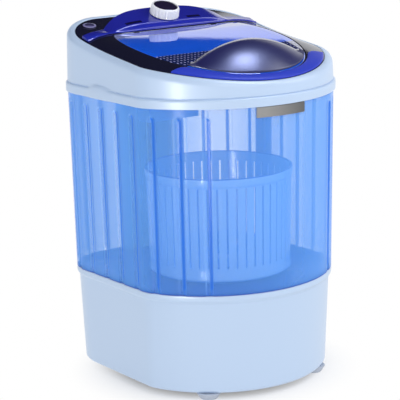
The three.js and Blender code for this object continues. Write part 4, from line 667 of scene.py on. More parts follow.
def lid_rings(profile, angle):
    """Rings beside the lid, one for each outward growth, rear growth and drop below its top."""
    grow, rear, drop = (column[:, None] for column in np.asarray(profile, float).T)
    radius = lid_reach(angle, grow, rear)
    x, y = radius * np.cos(angle), radius * np.sin(angle)
    return np.stack([x, y, lid_height(y) - drop], -1)


def outline_corner(grow, rear_grow):
    """Direction of the corner where the lid's oval meets its straight rear edge."""
    y = HINGE_LINE + rear_grow
    x = (LID_HALF + grow) * (1 - (y / (LID_REACH + grow)) ** LID_POWER) ** (1 / LID_POWER)
    return math.atan2(y, x)


corners = [outline_corner(g, r) for g, r in ((0, 0), (LID_GAP, LID_GAP), (-OPENING_INSET, LID_GAP))]
deck_angles = np.sort(np.concatenate([
    np.linspace(-math.pi, math.pi, 360, endpoint=False), corners, [math.pi - c for c in corners]]))
deck_black = finish("deck black", (0.007, 0.0075, 0.024), (0.010, 0.010, 0.032), 0.13, 900, 0.03, coat=0.3)
recess = LID_THICK + 0.6
deck_share = np.concatenate([[0, 0.004], np.linspace(0.02, 0.985, 16), [0.995, 1]])
deck_top = deck_point(deck_angles[None, :], deck_share[:, None])
deck_top[0, :, 2] -= 0.4
deck_top[-1, :, 2] -= 0.25
deck_inner = lid_rings([
    (LID_GAP, LID_GAP, recess), (-OPENING_INSET + 0.6, LID_GAP, recess),
    (-OPENING_INSET, LID_GAP, recess + 0.6), (-OPENING_INSET, LID_GAP, recess + 9),
    (-OPENING_INSET + DECK_WALL, LID_GAP + DECK_WALL, recess + 9),
    (-OPENING_INSET + DECK_WALL, LID_GAP + DECK_WALL, recess + DECK_WALL),
    (LID_GAP + DECK_WALL, LID_GAP + DECK_WALL, recess + DECK_WALL)], deck_angles)
deck_under = deck_point(deck_angles[None, :], np.array([[0.95], [0.1], [0]]), DECK_WALL)
deck_skin = skin(np.concatenate([deck_top, deck_inner, deck_under]), True)
hinge_z = lid_height(HINGE_Y) - BARREL


def bar_along_x(outline, x0, x1):
    """Carries an outline of depth and height straight across from x0 to x1."""
    outline = np.asarray(outline, float)
    return capped(np.array([np.column_stack([np.full(len(outline), x), outline]) for x in (x0, x1)]))


nose = np.radians(np.linspace(90, 270, 13))
lug_outline = np.concatenate([
    np.column_stack([HINGE_Y + 2.8 * np.cos(nose), hinge_z + 2.8 * np.sin(nose)]),
    [(85, hinge_z - 2.8), (85, hinge_z + 1.2)]])
lugs = [bar_along_x(lug_outline, middle - 5, middle + 5) for middle in (-LUG_X, LUG_X)]
deck = make_piece("black_deck", [deck_skin] + lugs, deck_black, 30)


def square_to_deck(points):
    """Stands an upright shape on the deck at the inlet: its axis turns from upright to the deck's
    normal there, by the shortest turn."""
    slope_x = (deck_height(INLET_X + 6, INLET_Y) - deck_height(INLET_X - 6, INLET_Y)) / 12
    slope_y = (deck_height(INLET_X, INLET_Y + 6) - deck_height(INLET_X, INLET_Y - 6)) / 12
    normal = np.array([-slope_x, -slope_y, 1]) / math.sqrt(slope_x**2 + slope_y**2 + 1)
    axis = np.array([-normal[1], normal[0], 0])
    cross = np.array([[0, -axis[2], axis[1]], [axis[2], 0, -axis[0]], [-axis[1], axis[0], 0]])
    turn = np.eye(3) + cross + cross @ cross / (1 + normal[2])
    return points @ turn.T + (INLET_X, INLET_Y, deck_height(INLET_X, INLET_Y))


inlet_hole = turned([(0, -16), (8.1, -16), (8.1, 16), (0, 16)], 64)
cut_out(deck, [skin(square_to_deck(inlet_hole))], 30)
fit(deck, "cabinet", "deck_black", "deck")

# ---------------------------------------------------------------- water inlet
# The inlet is a small violet cup with a flange, pushed into the deck. A hose hooks into it, and the
# water runs down through four round holes in its floor.
inlet_violet = finish("inlet violet", (0.20, 0.19, 0.42), (0.28, 0.26, 0.50), 0.2, 700, 0.08, coat=0.3)
# Painted shade: the cup is painted dark within about 7 mm of a point on its axis just above the deck, inside
# its mouth.
floor_middle = np.array([INLET_X, INLET_Y, float(deck_height(INLET_X, INLET_Y)) + 1.4]) * 0.001
away = add(inlet_violet.node_tree, "VectorMath", {0: object_place(inlet_violet.node_tree), 1: floor_middle},
           operation="DISTANCE").outputs["Value"]
repaint(inlet_violet, ramp(away, 0.0072, 0.0062), (0.012, 0.009, 0.05))
cup_profile = soften([(0, -11), (INLET_RADIUS, -11), (INLET_RADIUS, 0.6), (9.4, 0.6), (9.4, 1.4), (6.6, 1.9),
                      (6.4, -9.6), (0, -9.6)], 0.3, False)
cup = make_piece("inlet_cup", [skin(square_to_deck(turned(cup_profile, 64)))], inlet_violet)
holes = [skin(square_to_deck(turned([(0, -13), (1.3, -13), (1.3, -7), (0, -7)], 24, spot)))
         for spot in ((3.9, 0), (0, 3.9), (-3.9, 0), (0, -3.9))]
cut_out(cup, holes)
fit(cup, "cabinet", "inlet_violet", "water_inlet")

# ---------------------------------------------------------------- front trim
# A blue crescent lies round the front of the lid, stuck into the deck. Its two tips sweep out to the
# rim, and its edges are rounded so that they catch the light.
TRIM_THICK, TIP_ANGLE, FLAT_ANGLE = 1.8, 36.0, 52.0
RIM_SHARE, TIP_SHARE, MID_SHARE = 0.04, 0.09, 0.9
trim_blue = finish("trim blue", (0.026, 0.056, 0.60), (0.020, 0.044, 0.52), 0.38, 800, 0.03)
feed(shader_of(trim_blue), {"Specular IOR Level": 0.15})
sweep = (1 - np.cos(np.linspace(0, math.pi, 121))) / 2
trim_angle = np.radians(-180 + TIP_ANGLE + (180 - 2 * TIP_ANGLE) * sweep)
from_tip = np.minimum(trim_angle + math.radians(180 - TIP_ANGLE), -math.radians(TIP_ANGLE) - trim_angle)
from_tip = from_tip / math.radians(FLAT_ANGLE - TIP_ANGLE)
inner_share = TIP_SHARE + (MID_SHARE - TIP_SHARE) * (1 - np.maximum(0, 1 - from_tip) ** 5)
t = np.linspace(0, 1, 13)
edge_round = np.minimum(1, np.minimum(t, 1 - t) / 0.09)
lift = SEAT_GAP + TRIM_THICK * (0.75 + 0.25 * np.sin(math.pi * t)) * np.sqrt(1 - (1 - edge_round) ** 2 * 0.85)
share = RIM_SHARE + (inner_share[:, None] - RIM_SHARE) * t
trim_upper = deck_point(trim_angle[:, None], share, -lift)
trim_lower = deck_point(trim_angle[:, None], share[:, ::-1], -SEAT_GAP)
trim = make_piece("trim_crescent", [capped(np.concatenate([trim_upper, trim_lower], 1))], trim_blue, 50)
fit(trim, "cabinet", "trim_blue", "front_trim")

# ---------------------------------------------------------------- control panel
# Behind the lid stands the blue control panel, with an arm to the rim on each side. It rises from
# a short front wall to its rear edge, is glossy, and carries the timer knob in its middle.
PANEL_HALF, PANEL_DEPTH, PANEL_SWEEP, PANEL_GAP, PANEL_SEAT = 103.0, 52.0, 27.3, 1.4, 0.62
FRONT_RISE, REAR_RISE, END_RISE = 8.5, 26.3, 4.6
PANEL_REAR_Z = float(lid_height(HINGE_LINE))


def panel_surface(x, share):
    """Top of the panel from its front wall at share 0 to its rear edge at share 1: both heights
    fall off towards the ends, the front one as a fourth power and the rear one more squarely."""
    u = np.abs(x) / PANEL_HALF
    wall = FRONT_RISE * np.maximum(0, 1 - u**4)
    back = REAR_RISE - (REAR_RISE - END_RISE) * u**3.7
    return PANEL_REAR_Z + wall + (back - wall) * share


def panel_back(x):
    """Depth of the panel's rear edge: it sweeps forward to the ends, then runs on as the arms."""
    u = np.abs(x) / PANEL_HALF
    middle = HINGE_LINE + PANEL_DEPTH - PANEL_SWEEP * np.minimum(u, 1) ** 1.9
    return middle - 0.28 * np.maximum(0, np.abs(x) - PANEL_HALF)


def panel_material():
    """Glossy deep blue, painted lighter low down on the front wall as a highlight. Two plain bars, one
    each side of the knob, are printed darker: a bar is where the width and the depth are both near
    its middle."""
    material = finish("panel blue", (0.012, 0.016, 0.27), (0.018, 0.022, 0.36), 0.14, 800, 0.03, coat=0.35)
    axis = object_axes(material.node_tree)
    # Painted highlight: the front wall and the fronts of the arms are painted a lighter blue.
    repaint(material, ramp(axis["Y"], 0.092, 0.083), (0.016, 0.028, 0.46))
    for x, half in ((-0.060, 0.014), (0.042, 0.012)):
        beside = calc("ABSOLUTE", calc("SUBTRACT", axis["X"], x))
        ahead = calc("ABSOLUTE", calc("SUBTRACT", axis["Y"], 0.0935))
        bar = calc("MULTIPLY", ramp(beside, half, half - 0.0012), ramp(ahead, 0.0034, 0.0024))
        repaint(material, bar, (0.004, 0.004, 0.06))
    return material


panel_blue = panel_material()
near_arm = np.abs(deck_edge[:, 1] - HINGE_LINE - 8) < 14
arm_end = np.abs(deck_edge[near_arm, 0]).min() - 1.3
x = arm_end * np.sin(np.linspace(-1, 1, 141) * math.pi / 2 * 0.98) / math.sin(math.pi / 2 * 0.98)
back = panel_back(x)
arm = np.clip((np.abs(x) - PANEL_HALF) / (arm_end - PANEL_HALF), 0, 1)
front = HINGE_LINE + PANEL_GAP - 5 * arm**2
share = np.concatenate([[0], np.linspace(0.006, 0.12, 10), np.linspace(0.16, 0.9, 12),
                        np.linspace(0.92, 1, 8)])
y = front[:, None] + (back - front)[:, None] * share
across = np.broadcast_to(x[:, None], y.shape)
seat = deck_height(across, y) + PANEL_SEAT
full = np.maximum(panel_surface(x[:, None], share), seat + TRIM_THICK + 2 * arm[:, None] * share)
edge = np.minimum(np.clip(share / 0.1, 0, 1), np.clip((1 - share) / 0.06, 0, 1))
edge = edge**2 * (3 - 2 * edge)
top_z = seat + TRIM_THICK * 0.6 + (full - seat - TRIM_THICK * 0.6) * edge
panel_top = np.stack([across, y, top_z], -1)
panel_under = np.stack([across, y, seat], -1)[:, ::-6]
panel = make_piece("blue_panel", [capped(np.concatenate([panel_top, panel_under], 1))], panel_blue, 55)
fit(panel, "cabinet", "panel_blue", "control_panel")

# ---------------------------------------------------------------- timer, knob and cap
# The clockwork timer hangs under the deck in an open box that keeps water off it. Its steel shaft
# comes up through the panel to a white knob, fluted all round for wet fingers, with a dark cap.
KNOB_Y, KNOB_TILT, FLUTES = 105.3, 19.0, 20
knob_share = (KNOB_Y - HINGE_LINE - PANEL_GAP) / (float(panel_back(0.0)) - HINGE_LINE - PANEL_GAP)
KNOB_BASE = float(panel_surface(0.0, knob_share)) + 1


def on_knob_axis(points):
    """Leans an upright shape towards the front about the knob's foot."""
    c, s = math.cos(math.radians(KNOB_TILT)), math.sin(math.radians(KNOB_TILT))
    x, y, z = points[..., 0], points[..., 1], points[..., 2]
    return np.stack([x, KNOB_Y + c * y - s * z, KNOB_BASE + s * y + c * z], -1)


knob_white = finish("knob white", (0.97, 0.98, 1.0), (0.93, 0.95, 0.99), 0.28, 700, 0.06, coat=0.3)
cap_dark = finish("cap dark", (0.012, 0.008, 0.035), (0.018, 0.012, 0.045), 0.12, 900, 0.03, coat=0.4)
timer_plastic = finish("timer plastic", (0.62, 0.58, 0.48), (0.56, 0.52, 0.43), 0.5, 500, 0.15)
timer_box = finish("timer box", (0.10, 0.33, 0.80), (0.12, 0.36, 0.86), 0.4, 500, 0.15)
angle = np.linspace(0, 2 * math.pi, FLUTES * 12, endpoint=False)
valley = (0.5 - 0.5 * np.cos(FLUTES * angle)) ** 3
side = np.array([(20.6, 0.1, 0), (21, 0.3, 0.5), (21, 0.9, 1.6), (20.2, 0.9, 11.2), (19.9, 0.8, 11.9),
                 (19.2, 0.4, 12.8), (18.4, 0.1, 13.4), (17.9, 0, 13.6), (17.3, 0, 13.5), (17.3, 0, 12),
                 (3.3, 0, 12), (3.3, 0, 9), (3.3, 0, 0.2), (3.4, 0, 0), (20.2, 0, 0)])
radius = side[:, :1] - side[:, 1:2] * valley
knob = make_piece("fluted_knob", [skin(on_knob_axis(around(radius, angle, side[:, 2:3])), True)],
                  knob_white, 40)
fit(knob, "knob", "knob_white", "timer_knob")
cap_profile = soften([(0, 12.3), (17, 12.3), (17, 13.2), (14, 14.1), (8, 14.45), (0, 14.6)], 0.9, False)
cap = make_piece("knob_dome", [skin(on_knob_axis(turned(cap_profile, 96)))], cap_dark, 40)
fit(cap, "knob", "cap_dark", "knob_cap")
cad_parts["timer_body"].data.materials[0] = timer_plastic
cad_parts["timer_housing"].data.materials[0] = timer_box

# ---------------------------------------------------------------- lid
# The lid is a thin clear plate, bowed and slightly blue, with a barrel along its straight rear edge
# that turns on two steel pins. A dark band with rows of clear dots is printed on its underside in
# front of the middle, where the hood begins.
WINDOW_REAR = -BARREL - 0.4
NOTCH_HALF, NOTCH_DEPTH, CORNER_X, CORNER_Y = 6.3, 4.6, 102.8, 75.5
rear_corner = outline_corner(0, WINDOW_REAR)
notch_ends = [side * (LUG_X + end * NOTCH_HALF + step) for end in (-1, 1) for step in (-0.01, 0.01)
              for side in (-1, 1)]
lid_angles = np.sort(np.concatenate([
    np.linspace(-math.pi, math.pi, 360, endpoint=False), [rear_corner, math.pi - rear_corner],
    [math.atan2(HINGE_LINE + WINDOW_REAR, x) for x in notch_ends]]))


def window_rings(profile):
    """Rings of the lid's plate, one for each share of its outline and drop. The rear corners are cut
    off aslant and two notches clear the lugs, so that the plate turns without touching the deck."""
    share, drop = (column[:, None] for column in np.asarray(profile, float).T)
    radius = lid_reach(lid_angles, 0, WINDOW_REAR) * share
    x, y = radius * np.cos(lid_angles), radius * np.sin(lid_angles)
    x = np.sign(x) * np.minimum(np.abs(x), CORNER_X + np.maximum(0, CORNER_Y - y))
    y = np.where(np.abs(np.abs(x) - LUG_X) < NOTCH_HALF, np.minimum(y, HINGE_Y - NOTCH_DEPTH), y)
    return np.stack([x, y, lid_height(y) - drop], -1)


def lid_material():
    """Clear bright blue plastic under a hard gloss, with a painted reflection along its rear edge and a
    painted highlight at its rim, where the face turns away from upright. A band across the lid is
    printed dark, with round clear dots in rows: two saw waves of the width and the depth make a
    cell, and a dot is its middle."""
    material = clear_blue("lid clear", (0.003, 0.12, 0.86), (0.003, 0.14, 0.94), 0.8, 0.92, 0.04)
    tree, shader = material.node_tree, shader_of(material)
    axis = object_axes(tree)
    cells = [calc("SUBTRACT", calc("FRACT", calc("DIVIDE", axis[name], pitch)), 0.5)
             for name, pitch in (("X", 0.0056), ("Y", 0.0078))]
    spread = calc("SQRT", calc("ADD", calc("POWER", cells[0], 2.0), calc("POWER", cells[1], 2.0)))
    band = calc("MULTIPLY", calc("LESS_THAN", axis["Y"], -0.042), calc("GREATER_THAN", axis["Y"], -0.088))
    dots = calc("MULTIPLY", band, calc("LESS_THAN", spread, 0.24))
    painted_reflection_band = ramp(axis["Y"], 0.046, 0.060, kind="SMOOTHSTEP")
    normal = add(tree, "TexCoord", {}).outputs["Normal"]
    upright = calc("ABSOLUTE", add(tree, "SeparateXYZ", {"Vector": normal}).outputs["Z"])
    feed(shader, {
        "Coat Weight": 1.0, "Coat Roughness": 0.03, "Coat IOR": 2.2,
        "Alpha": calc("MAXIMUM", fed_by(shader.inputs["Alpha"]), calc("MULTIPLY", band, 0.97))})
    # The rear band is a painted reflection and the pale rim a painted highlight; the dark band and its dots
    # are print.
    for mask, tone in ((painted_reflection_band, (0.36, 0.39, 0.64)), (band, (0.006, 0.005, 0.02)),
                       (dots, (0.36, 0.36, 0.62)), (ramp(upright, 0.8, 0.3), (0.42, 0.44, 0.66))):
        repaint(material, mask, tone)
    return material


lid_clear = lid_material()
inner_shares = np.linspace(0, 0.985, 12)
window = window_rings([(s, 0) for s in inner_shares] + [(0.994, 0.2), (1, 0.9), (1, 2.3), (0.995, 2.85)]
                      + [(s, LID_THICK) for s in inner_shares[::-1]])
round_bar = np.radians(np.linspace(0, 360, 32, endpoint=False))
barrel_outline = np.column_stack([HINGE_Y + BARREL * np.cos(round_bar), hinge_z + BARREL * np.sin(round_bar)])
barrels = [bar_along_x(barrel_outline, a, b) for a, b in ((-88.6, -71.3), (-60.7, 60.7), (71.3, 88.6))]
lid = make_piece("clear_lid", [skin(window)] + barrels, lid_clear, 40)
fit(lid, "lid", "lid_clear", "lid_window")

# ---------------------------------------------------------------- grip hood
# A dark glossy hood is welded to the front of the lid and opens to the rear, so that fingers can
# reach in and lift. A thin silver strip finishes its rear lip.
GRIP_LIP, GRIP_HALF, GRIP_RISE, GRIP_FOOT, GRIP_WALL = -86.0, 85.0, 23.0, 1.9, 2.2
HOOD_INSET, STRIP_PROUD = 1.2, 1.7


def hood_top(x, share):
    """Top of the hood from the lid's front edge at share 0 to the lip at share 1: it stands on the
    lid's bow and rises as one parabola across the lid and half of another along it."""
    half, reach = LID_HALF - HOOD_INSET, LID_REACH - HOOD_INSET
    edge = -reach * (1 - (np.abs(x) / half) ** LID_POWER) ** (1 / LID_POWER)
    y = edge + (GRIP_LIP - edge) * share
    arch = GRIP_RISE * np.maximum(0, 1 - (x / GRIP_HALF) ** 2)
    z = lid_height(y) + GRIP_FOOT + arch * (1 - (1 - share) ** 2)
    return np.stack([np.broadcast_to(x, y.shape), y, z], -1)


grip_violet = finish("grip violet", (0.012, 0.012, 0.085), (0.017, 0.018, 0.12), 0.30, 900, 0.02)
feed(shader_of(grip_violet), {"Specular IOR Level": 0.8, "Specular Tint": (0.78, 0.84, 1.0, 1)})
strip_silver = metal("strip silver", (0.62, 0.62, 0.66), (0.52, 0.52, 0.56), 0.25, (1500, 40, 40))
x = np.linspace(-96, 96, 121)[:, None]
share = np.concatenate([[0, 0.01], np.linspace(0.03, 1, 22)])
hood_skin = hood_top(x, share)
hood_skin[:, 0, 2] -= 0.5
hood_under = hood_skin.copy()
hood_under[..., 2] = np.maximum(lid_height(hood_skin[..., 1]) + SEAT_GAP, hood_skin[..., 2] - GRIP_WALL)
hood = make_piece("grip_hood", [capped(np.concatenate([hood_skin, hood_under[:, ::-1]], 1))], grip_violet, 50)
fit(hood, "lid", "grip_violet", "lid_grip")
x = np.linspace(-91, 91, 121)
lip = hood_top(x, np.ones(1))[:, 2] + STRIP_PROUD
foot_z = np.maximum(lip - GRIP_WALL - STRIP_PROUD, lid_height(GRIP_LIP + 2.1) + SEAT_GAP)
section = [(0.3, 0, 0), (2.1, 0, 0), (2.1, 1, -0.8), (1.8, 1, -0.3), (1.3, 1, 0), (0.3, 1, 0)]
strip_rows = np.stack([np.stack([x, np.full_like(x, GRIP_LIP + out), foot_z + (lip - foot_z) * up + drop], -1)
                       for out, up, drop in section], 1)
strip = make_piece("silver_strip", [capped(strip_rows)], strip_silver, 40)
fit(strip, "lid", "strip_silver", "grip_strip")

# ---------------------------------------------------------------- spin basket
# The basket is a light blue cup of clear plastic that the laundry is spun in. Forty-eight upright
# slots go through its wall, a smooth band stiffens its rim, and fifteen round holes drain its floor.
# Its inside is painted deeper as shade, and the flat of its brim is coloured deeper too.
BASKET_BOTTOM, BASKET_TOP, BASKET_FOOT, BASKET_SPREAD = 150.5, 296.0, 98.5, 3.0
SLOTS, SLOT_WIDTH, SLOT_LOW, SLOT_HIGH = 48, 2.6, 171.5, 282.0


def basket_wall(z):
    """Radius of the basket's wall, widening evenly from its foot to its rim."""
    return BASKET_FOOT + BASKET_SPREAD * (z - BASKET_BOTTOM) / (BASKET_TOP - BASKET_BOTTOM)


basket_blue = clear_blue("basket blue", (0.10, 0.33, 0.90), (0.42, 0.68, 0.99), 0.64, 0.94, 0.16)
tree = basket_blue.node_tree
off_axis = add(tree, "VectorMath", {0: object_place(tree), 1: (1, 1, 0), 2: (0, -SPIN_Y * 0.001, 0)},
               operation="MULTIPLY_ADD").outputs["Vector"]
radius = add(tree, "VectorMath", {0: off_axis}, operation="LENGTH").outputs["Value"]
height = object_axes(tree)["Z"]
foot_radius = calc("MULTIPLY_ADD", height, -BASKET_SPREAD / (BASKET_TOP - BASKET_BOTTOM), radius)
# Painted shade: the inside of the basket, within its foot radius, is painted deeper, and so is its glow.
repaint(basket_blue, ramp(foot_radius, 0.0946, 0.0940), (0.12, 0.36, 0.84), True)
repaint(basket_blue, ramp(height, 0.2945, 0.2952), (0.03, 0.15, 0.62), True)
half_slot = math.degrees(SLOT_WIDTH / 2 / 101)
offsets = np.array([-half_slot, half_slot, 2.3, 3.75, 5.2])
angle = np.radians(np.arange(SLOTS)[:, None] * 360 / SLOTS + offsets).ravel()
b, low, high = BASKET_BOTTOM, basket_wall(SLOT_LOW), basket_wall(SLOT_HIGH)
outer = [(14.3, b), (60, b), (90, b), (93.5, b + 0.4), (98.4, b + 3), (99.7, b + 4.4), (99.7, b + 7.6),
         (99.4, b + 8.4), (98.7, b + 10), (low, SLOT_LOW), (high, SLOT_HIGH), (101.4, 283.4), (102.7, 284.6),
         (103, 285.4), (103, 294.8), (102.6, 295.7), (101.8, 296), (100.2, 296), (99.5, 295.6), (99.1, 284),
         (high - 2.2, SLOT_HIGH), (low - 2.2, SLOT_LOW), (96.6, b + 5), (95.2, b + 2.8), (93, b + 2.2),
         (60, b + 2.2), (14.3, b + 2.2)]
outer = np.array(outer)
points, faces = skin(around(outer[:, :1], angle, outer[:, 1:2], (0, SPIN_Y)), True)
column, row = faces[:, 0] % len(angle), faces[:, 0] // len(angle)
in_slot = (column % len(offsets) == 0) & np.isin(row, (9, 20))
left = np.arange(SLOTS) * len(offsets)
ring = len(angle)
corner = [[row_at * ring + left + step for step in (0, 1)] for row_at in (9, 10, 20, 21)]
walls = np.concatenate([np.stack([corner[at][step] for at, step in wall], 1) for wall in (
    ((0, 0), (1, 0), (2, 0), (3, 0)), ((0, 1), (1, 1), (2, 1), (3, 1)),
    ((0, 0), (0, 1), (3, 1), (3, 0)), ((1, 0), (1, 1), (2, 1), (2, 0)))])
basket = make_piece("slotted_basket", [(points, np.concatenate([faces[~in_slot], walls]))], basket_blue, 40)
drains = [skin(turned([(0, b - 2), (3, b - 2), (3, b + 5), (0, b + 5)], 20,
                      (radius * math.cos(a), SPIN_Y + radius * math.sin(a))))
          for count, radius in ((6, 38), (9, 68)) for a in np.arange(count) * 2 * math.pi / count]
cut_out(basket, drains, 40)
fit(basket, "drum", "basket_blue", "spin_basket")

# ---------------------------------------------------------------- pulsator and lock cap
# The pulsator turns in the tank's well under the basket: a blue disc with six rounded vanes and a
# stepped boss. A cap screws down over its neck and holds the basket on it.
PULSATOR_FLOOR = 136.6
pulsator_blue = finish("pulsator blue", (0.09, 0.30, 0.80), (0.12, 0.35, 0.86), 0.3, 600, 0.1, coat=0.2)
z = PULSATOR_FLOOR
wheel = np.array([(6.3, z), (72, z), (75.4, z + 1.2), (76, z + 2), (75.8, z + 3.4), (75, z + 4)]
                 + [(r, z + 4) for r in np.linspace(73.5, 37, 26)]
                 + [(r, z + 4 + 9.6 * ((36 - r) / 14) ** 1.3) for r in np.linspace(35, 22.4, 8)]
                 + [(22, 150.2), (14, 150.2), (14, 156), (13.5, 156.5), (0, 156.5), (0, 151.3), (6.3, 151.3)])
angle = np.linspace(0, 2 * math.pi, 240, endpoint=False)
radius = wheel[:, :1] * np.ones_like(angle)
apart = np.abs((angle + math.pi / 6) % (math.pi / 3) - math.pi / 6) * radius
vane = 6 - 3 * np.clip((radius - 26) / 46, 0, 1)
vane_z = 0.9 * np.sqrt(np.maximum(0, vane**2 - apart**2)) * np.clip((74 - radius) / 3, 0, 1)
height = wheel[:, 1:2] + np.where((wheel[:, 1:2] > z + 3.9) & (radius > 24) & (radius < 75), vane_z, 0)
pulsator = make_piece("pulsator_wheel", [skin(around(radius, angle, height, (0, SPIN_Y)), True)],
                      pulsator_blue, 50)
fit(pulsator, "drum", "pulsator_blue", "pulsator")
lock_profile = soften([(14.3, 153), (22, 153), (22, 156), (19, 161.5), (14, 164.5), (0, 164.5), (0, 156.8),
                       (14.3, 156.8)], 1.0)
lock_cap = make_piece("lock_cap", [skin(turned(lock_profile, 72, (0, SPIN_Y)), True)], pulsator_blue, 40)
fit(lock_cap, "drum", "pulsator_blue", "basket_lock_cap")

# ---------------------------------------------------------------- belt drive under the tank
# A small motor on a steel bracket turns the drum's shaft through a rubber belt. The shaft runs in
# two ball bearings in a webbed iron housing. All of it is hidden in the base in daily use.
pulley_black = finish("pulley black", (0.035, 0.037, 0.042), (0.05, 0.052, 0.058), 0.5, 500, 0.25)
belt_rubber = finish("belt rubber", (0.012, 0.012, 0.013), (0.022, 0.022, 0.024), 0.8, 300, 0.6)
turned_steel = metal("turned steel", (0.52, 0.53, 0.55), (0.40, 0.41, 0.43), 0.3, (60, 60, 1800))
motor_metal = metal("motor metal", (0.42, 0.43, 0.45), (0.32, 0.33, 0.35), 0.42, (300, 300, 900), 0.85)
bracket_steel = metal("bracket steel", (0.50, 0.50, 0.48), (0.38, 0.38, 0.37), 0.4, (500, 60, 60), 0.9)
housing_iron = metal("housing iron", (0.10, 0.105, 0.11), (0.07, 0.072, 0.078), 0.6, (700, 700, 700), 0.4,
                     0.5)
capacitor_plastic = finish("capacitor plastic", (0.74, 0.74, 0.68), (0.66, 0.66, 0.60), 0.45, 500, 0.12)
for names, look in ((("drive_pulley",), pulley_black), (("drive_belt",), belt_rubber),
                    (("motor_pulley", "drive_shaft", "lower_bearing", "upper_bearing", "timer_shaft",
                      "hinge_pin_left", "hinge_pin_right"), turned_steel),
                    (("motor",), motor_metal), (("motor_bracket",), bracket_steel),
                    (("bearing_housing",), housing_iron), (("motor_capacitor",), capacitor_plastic),
                    (("motor_mount_front_left", "motor_mount_front_right", "motor_mount_rear_left",
                      "motor_mount_rear_right"), seal_rubber)):
    for name in names:
        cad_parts[name].data.materials[0] = look

# ---------------------------------------------------------------- screws
# Cross-head screws of bright zinc hold the duct cover at the back, and four more hold the bottom
# cover to the base. Each has a low domed head with a cross pressed into it.
screw_zinc = metal("screw zinc", (0.60, 0.60, 0.58), (0.48, 0.48, 0.47), 0.3, (900, 900, 900))


def screw_head(place, out, across, radius):
    """A domed head about an axis: its height falls with the square of the radius, and a cross is
    sunk where either of two bars passes."""
    up = np.cross(out, across)
    angle = np.linspace(0, 2 * math.pi, 48, endpoint=False)
    r = radius * np.array([0, 0.12, 0.2, 0.3, 0.42, 0.5, 0.6, 0.75, 0.9, 1.0, 1.0])[:, None]
    a, b = r * np.cos(angle), r * np.sin(angle)
    height = 1.5 * (1 - 0.45 * (r / radius) ** 2) + 0 * angle
    slot = (np.minimum(np.abs(a), np.abs(b)) < 0.42) & (r < 0.62 * radius)
    height = np.where(slot, height - 0.8, height)
    height[-1] = -0.6
    points = (np.array(place) + a[..., None] * np.array(across) + b[..., None] * up
              + height[..., None] * np.array(out))
    return capped(points)


behind = [screw_head((x, HALF_DEPTH - float(tank_lean(z)) - 1.0, z), (0, 1, 0), (1, 0, 0), 3.0)
          for z in (170, 385) for x in (-38, 38)]
duct_screws = make_piece("duct_screws", behind, screw_zinc, 30)
fit(duct_screws, "cabinet", "turned_steel")
below = [screw_head((x, y, FOOT_HEIGHT + 0.6), (0, 0, -1), (1, 0, 0), 3.4)
         for x in (-118, 118) for y in (-40, 70)]
cover_screws = make_piece("cover_screws", below, screw_zinc, 30)
fit(cover_screws, "cabinet", "turned_steel")

# ---------------------------------------------------------------- floor, light and camera
# A plain white floor in a white surround. Three soft lamps light the machine from the front, the left
# and the right. Two more show in gloss only: an upright one draws a bright edge down the left front
# corner, and one high over the right side puts the glow on the hood.
floor_mesh = bpy.data.meshes.new("floor")
floor_mesh.from_pydata([(-9, -9, 0), (9, -9, 0), (9, 9, 0), (-9, 9, 0)], [], [(0, 1, 2, 3)])
floor_white = bpy.data.materials.new("floor white")
floor_white.use_nodes = True
tree = floor_white.node_tree
dull = feed(shader_of(floor_white), {
    "Base Color": (0.93, 0.93, 0.94, 1), "Roughness": 0.9, "Specular IOR Level": 0.1})
away = add(tree, "VectorMath", {0: object_place(tree)}, operation="LENGTH").outputs["Value"]
surface = add(tree, "MixShader", {
    "Fac": ramp(away, 0.08, 0.215, kind="SMOOTHSTEP"), 1: dull.outputs["BSDF"],
    2: add(tree, "Emission", {}).outputs["Emission"]})
feed(tree.nodes["Material Output"], {"Surface": surface.outputs["Shader"]})
floor_mesh.materials.append(floor_white)
floor_plane = bpy.data.objects.new("floor", floor_mesh)
bpy.context.collection.objects.link(floor_plane)

VIEW_AZIMUTH, VIEW_ELEVATION, VIEW_ROLL = -35.52, 12.70, math.radians(-1.3)
VIEW_DISTANCE, VIEW_SIDE, VIEW_HEIGHT = 2.4269, -0.016284, 0.242722


def bearing(azimuth, elevation):
    """Three directions for a viewer at a bearing and height angle: from the machine to the viewer,
    level to the viewer's right, and upright. Azimuth 0 is straight in front and grows towards the
    machine's right."""
    a, e = math.radians(azimuth), math.radians(elevation)
    toward = np.array([math.sin(a) * math.cos(e), -math.cos(a) * math.cos(e), math.sin(e)])
    level = np.array([math.cos(a), math.sin(a), 0])
    return toward, level, np.cross(toward, level)


def stand(name, data, right, up, back, place):
    """Puts a lamp or a camera at its place, with the three directions of its own axes."""
    thing = bpy.data.objects.new(name, data)
    thing.matrix_world = Matrix([[right[k], up[k], back[k], place[k]] for k in range(3)] + [[0, 0, 0, 1]])
    bpy.context.collection.objects.link(thing)
    return thing


def lamp(name, azimuth, elevation, distance, size, power, colour, aim=(0, 0, 0.3), gloss_only=False):
    """A soft lamp, of a width and a height, at a bearing, height angle and distance from its aim,
    facing it. A lamp for gloss only shows in reflections and lights nothing else."""
    light = bpy.data.lights.new(name, "AREA")
    light.shape = "RECTANGLE"
    (light.size, light.size_y), light.energy, light.color = size, power, colour
    toward, level, up = bearing(azimuth, elevation)
    lit = stand(name, light, level, up, toward, np.array(aim) + toward * distance)
    lit.visible_diffuse, lit.visible_camera = not gloss_only, False


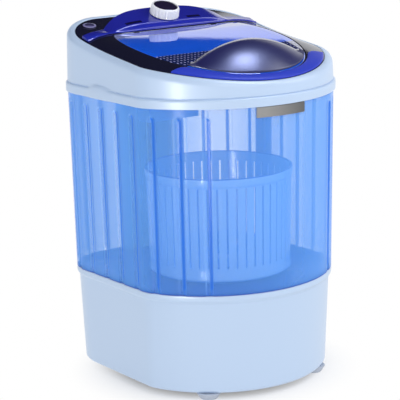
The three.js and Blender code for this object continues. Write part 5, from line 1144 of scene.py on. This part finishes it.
lamp("front lamp", -8, 45, 2.4, (1.0, 1.0), 12, (0.98, 0.98, 1.0))
lamp("left lamp", -44, 8, 2.6, (1.2, 1.2), 6.5, (0.98, 0.98, 1.0))
lamp("right lamp", 65, 40, 2.4, (1.0, 1.0), 12, (1.0, 1.0, 1.0))
lamp("edge lamp", -61, -6, 1.25, (0.10, 0.9), 15, (0.97, 0.98, 1.0), gloss_only=True)
lamp("hood lamp", 73, 67, 1.7, (0.50, 0.50), 21, (0.62, 0.69, 1.0), (0, 0, 0.45), True)

toward, level, upright = bearing(VIEW_AZIMUTH, VIEW_ELEVATION)
right = level * math.cos(VIEW_ROLL) + upright * math.sin(VIEW_ROLL)
up = upright * math.cos(VIEW_ROLL) - level * math.sin(VIEW_ROLL)
spot = level * VIEW_SIDE + (0, 0, VIEW_HEIGHT) + toward * VIEW_DISTANCE
lens = bpy.data.cameras.new("camera")
lens.lens, lens.sensor_width, lens.clip_end = 155.655, 36.0, 100.0
bpy.context.scene.camera = stand("camera", lens, right, up, toward, spot)
bpy.context.scene.view_settings.view_transform = "Standard"

# Seen directly or through clear parts, the surround is white. In gloss it is white up to an edge that
# slants behind the machine, like a card leant up there, and nearly dark above it.
world = bpy.data.worlds.new("surround")
bpy.context.scene.world = world
world.use_nodes = True
tree = world.node_tree
direction = add(tree, "TexCoord", {}).outputs["Generated"]
height = add(tree, "SeparateXYZ", {"Vector": direction}).outputs["Z"]
across = add(tree, "VectorMath", {0: direction, 1: level}, operation="DOT_PRODUCT").outputs["Value"]
above_edge = calc("SUBTRACT", height, ramp(across, -0.020, 0.100, 0.309, 0.391))
rays = add(tree, "LightPath", {}).outputs
shine = feed(tree.nodes["Background"], {
    "Color": (0.95, 0.96, 1.0, 1), "Strength": ramp(above_edge, -0.006, 0.008, 1.0, 0.015, "SMOOTHSTEP")})
fill = add(tree, "Background", {"Color": (0.93, 0.95, 1.0, 1), "Strength": 0.61})
seen = add(tree, "Background", {"Color": (1, 1, 1, 1), "Strength": 1.0})
around_it = add(tree, "MixShader", {
    "Fac": rays["Is Glossy Ray"], 1: fill.outputs["Background"], 2: shine.outputs["Background"]})
surround = add(tree, "MixShader", {
    "Fac": calc("MAXIMUM", rays["Is Camera Ray"], rays["Is Transmission Ray"]),
    1: around_it.outputs["Shader"], 2: seen.outputs["Background"]})
feed(tree.nodes["World Output"], {"Surface": surround.outputs["Shader"]})
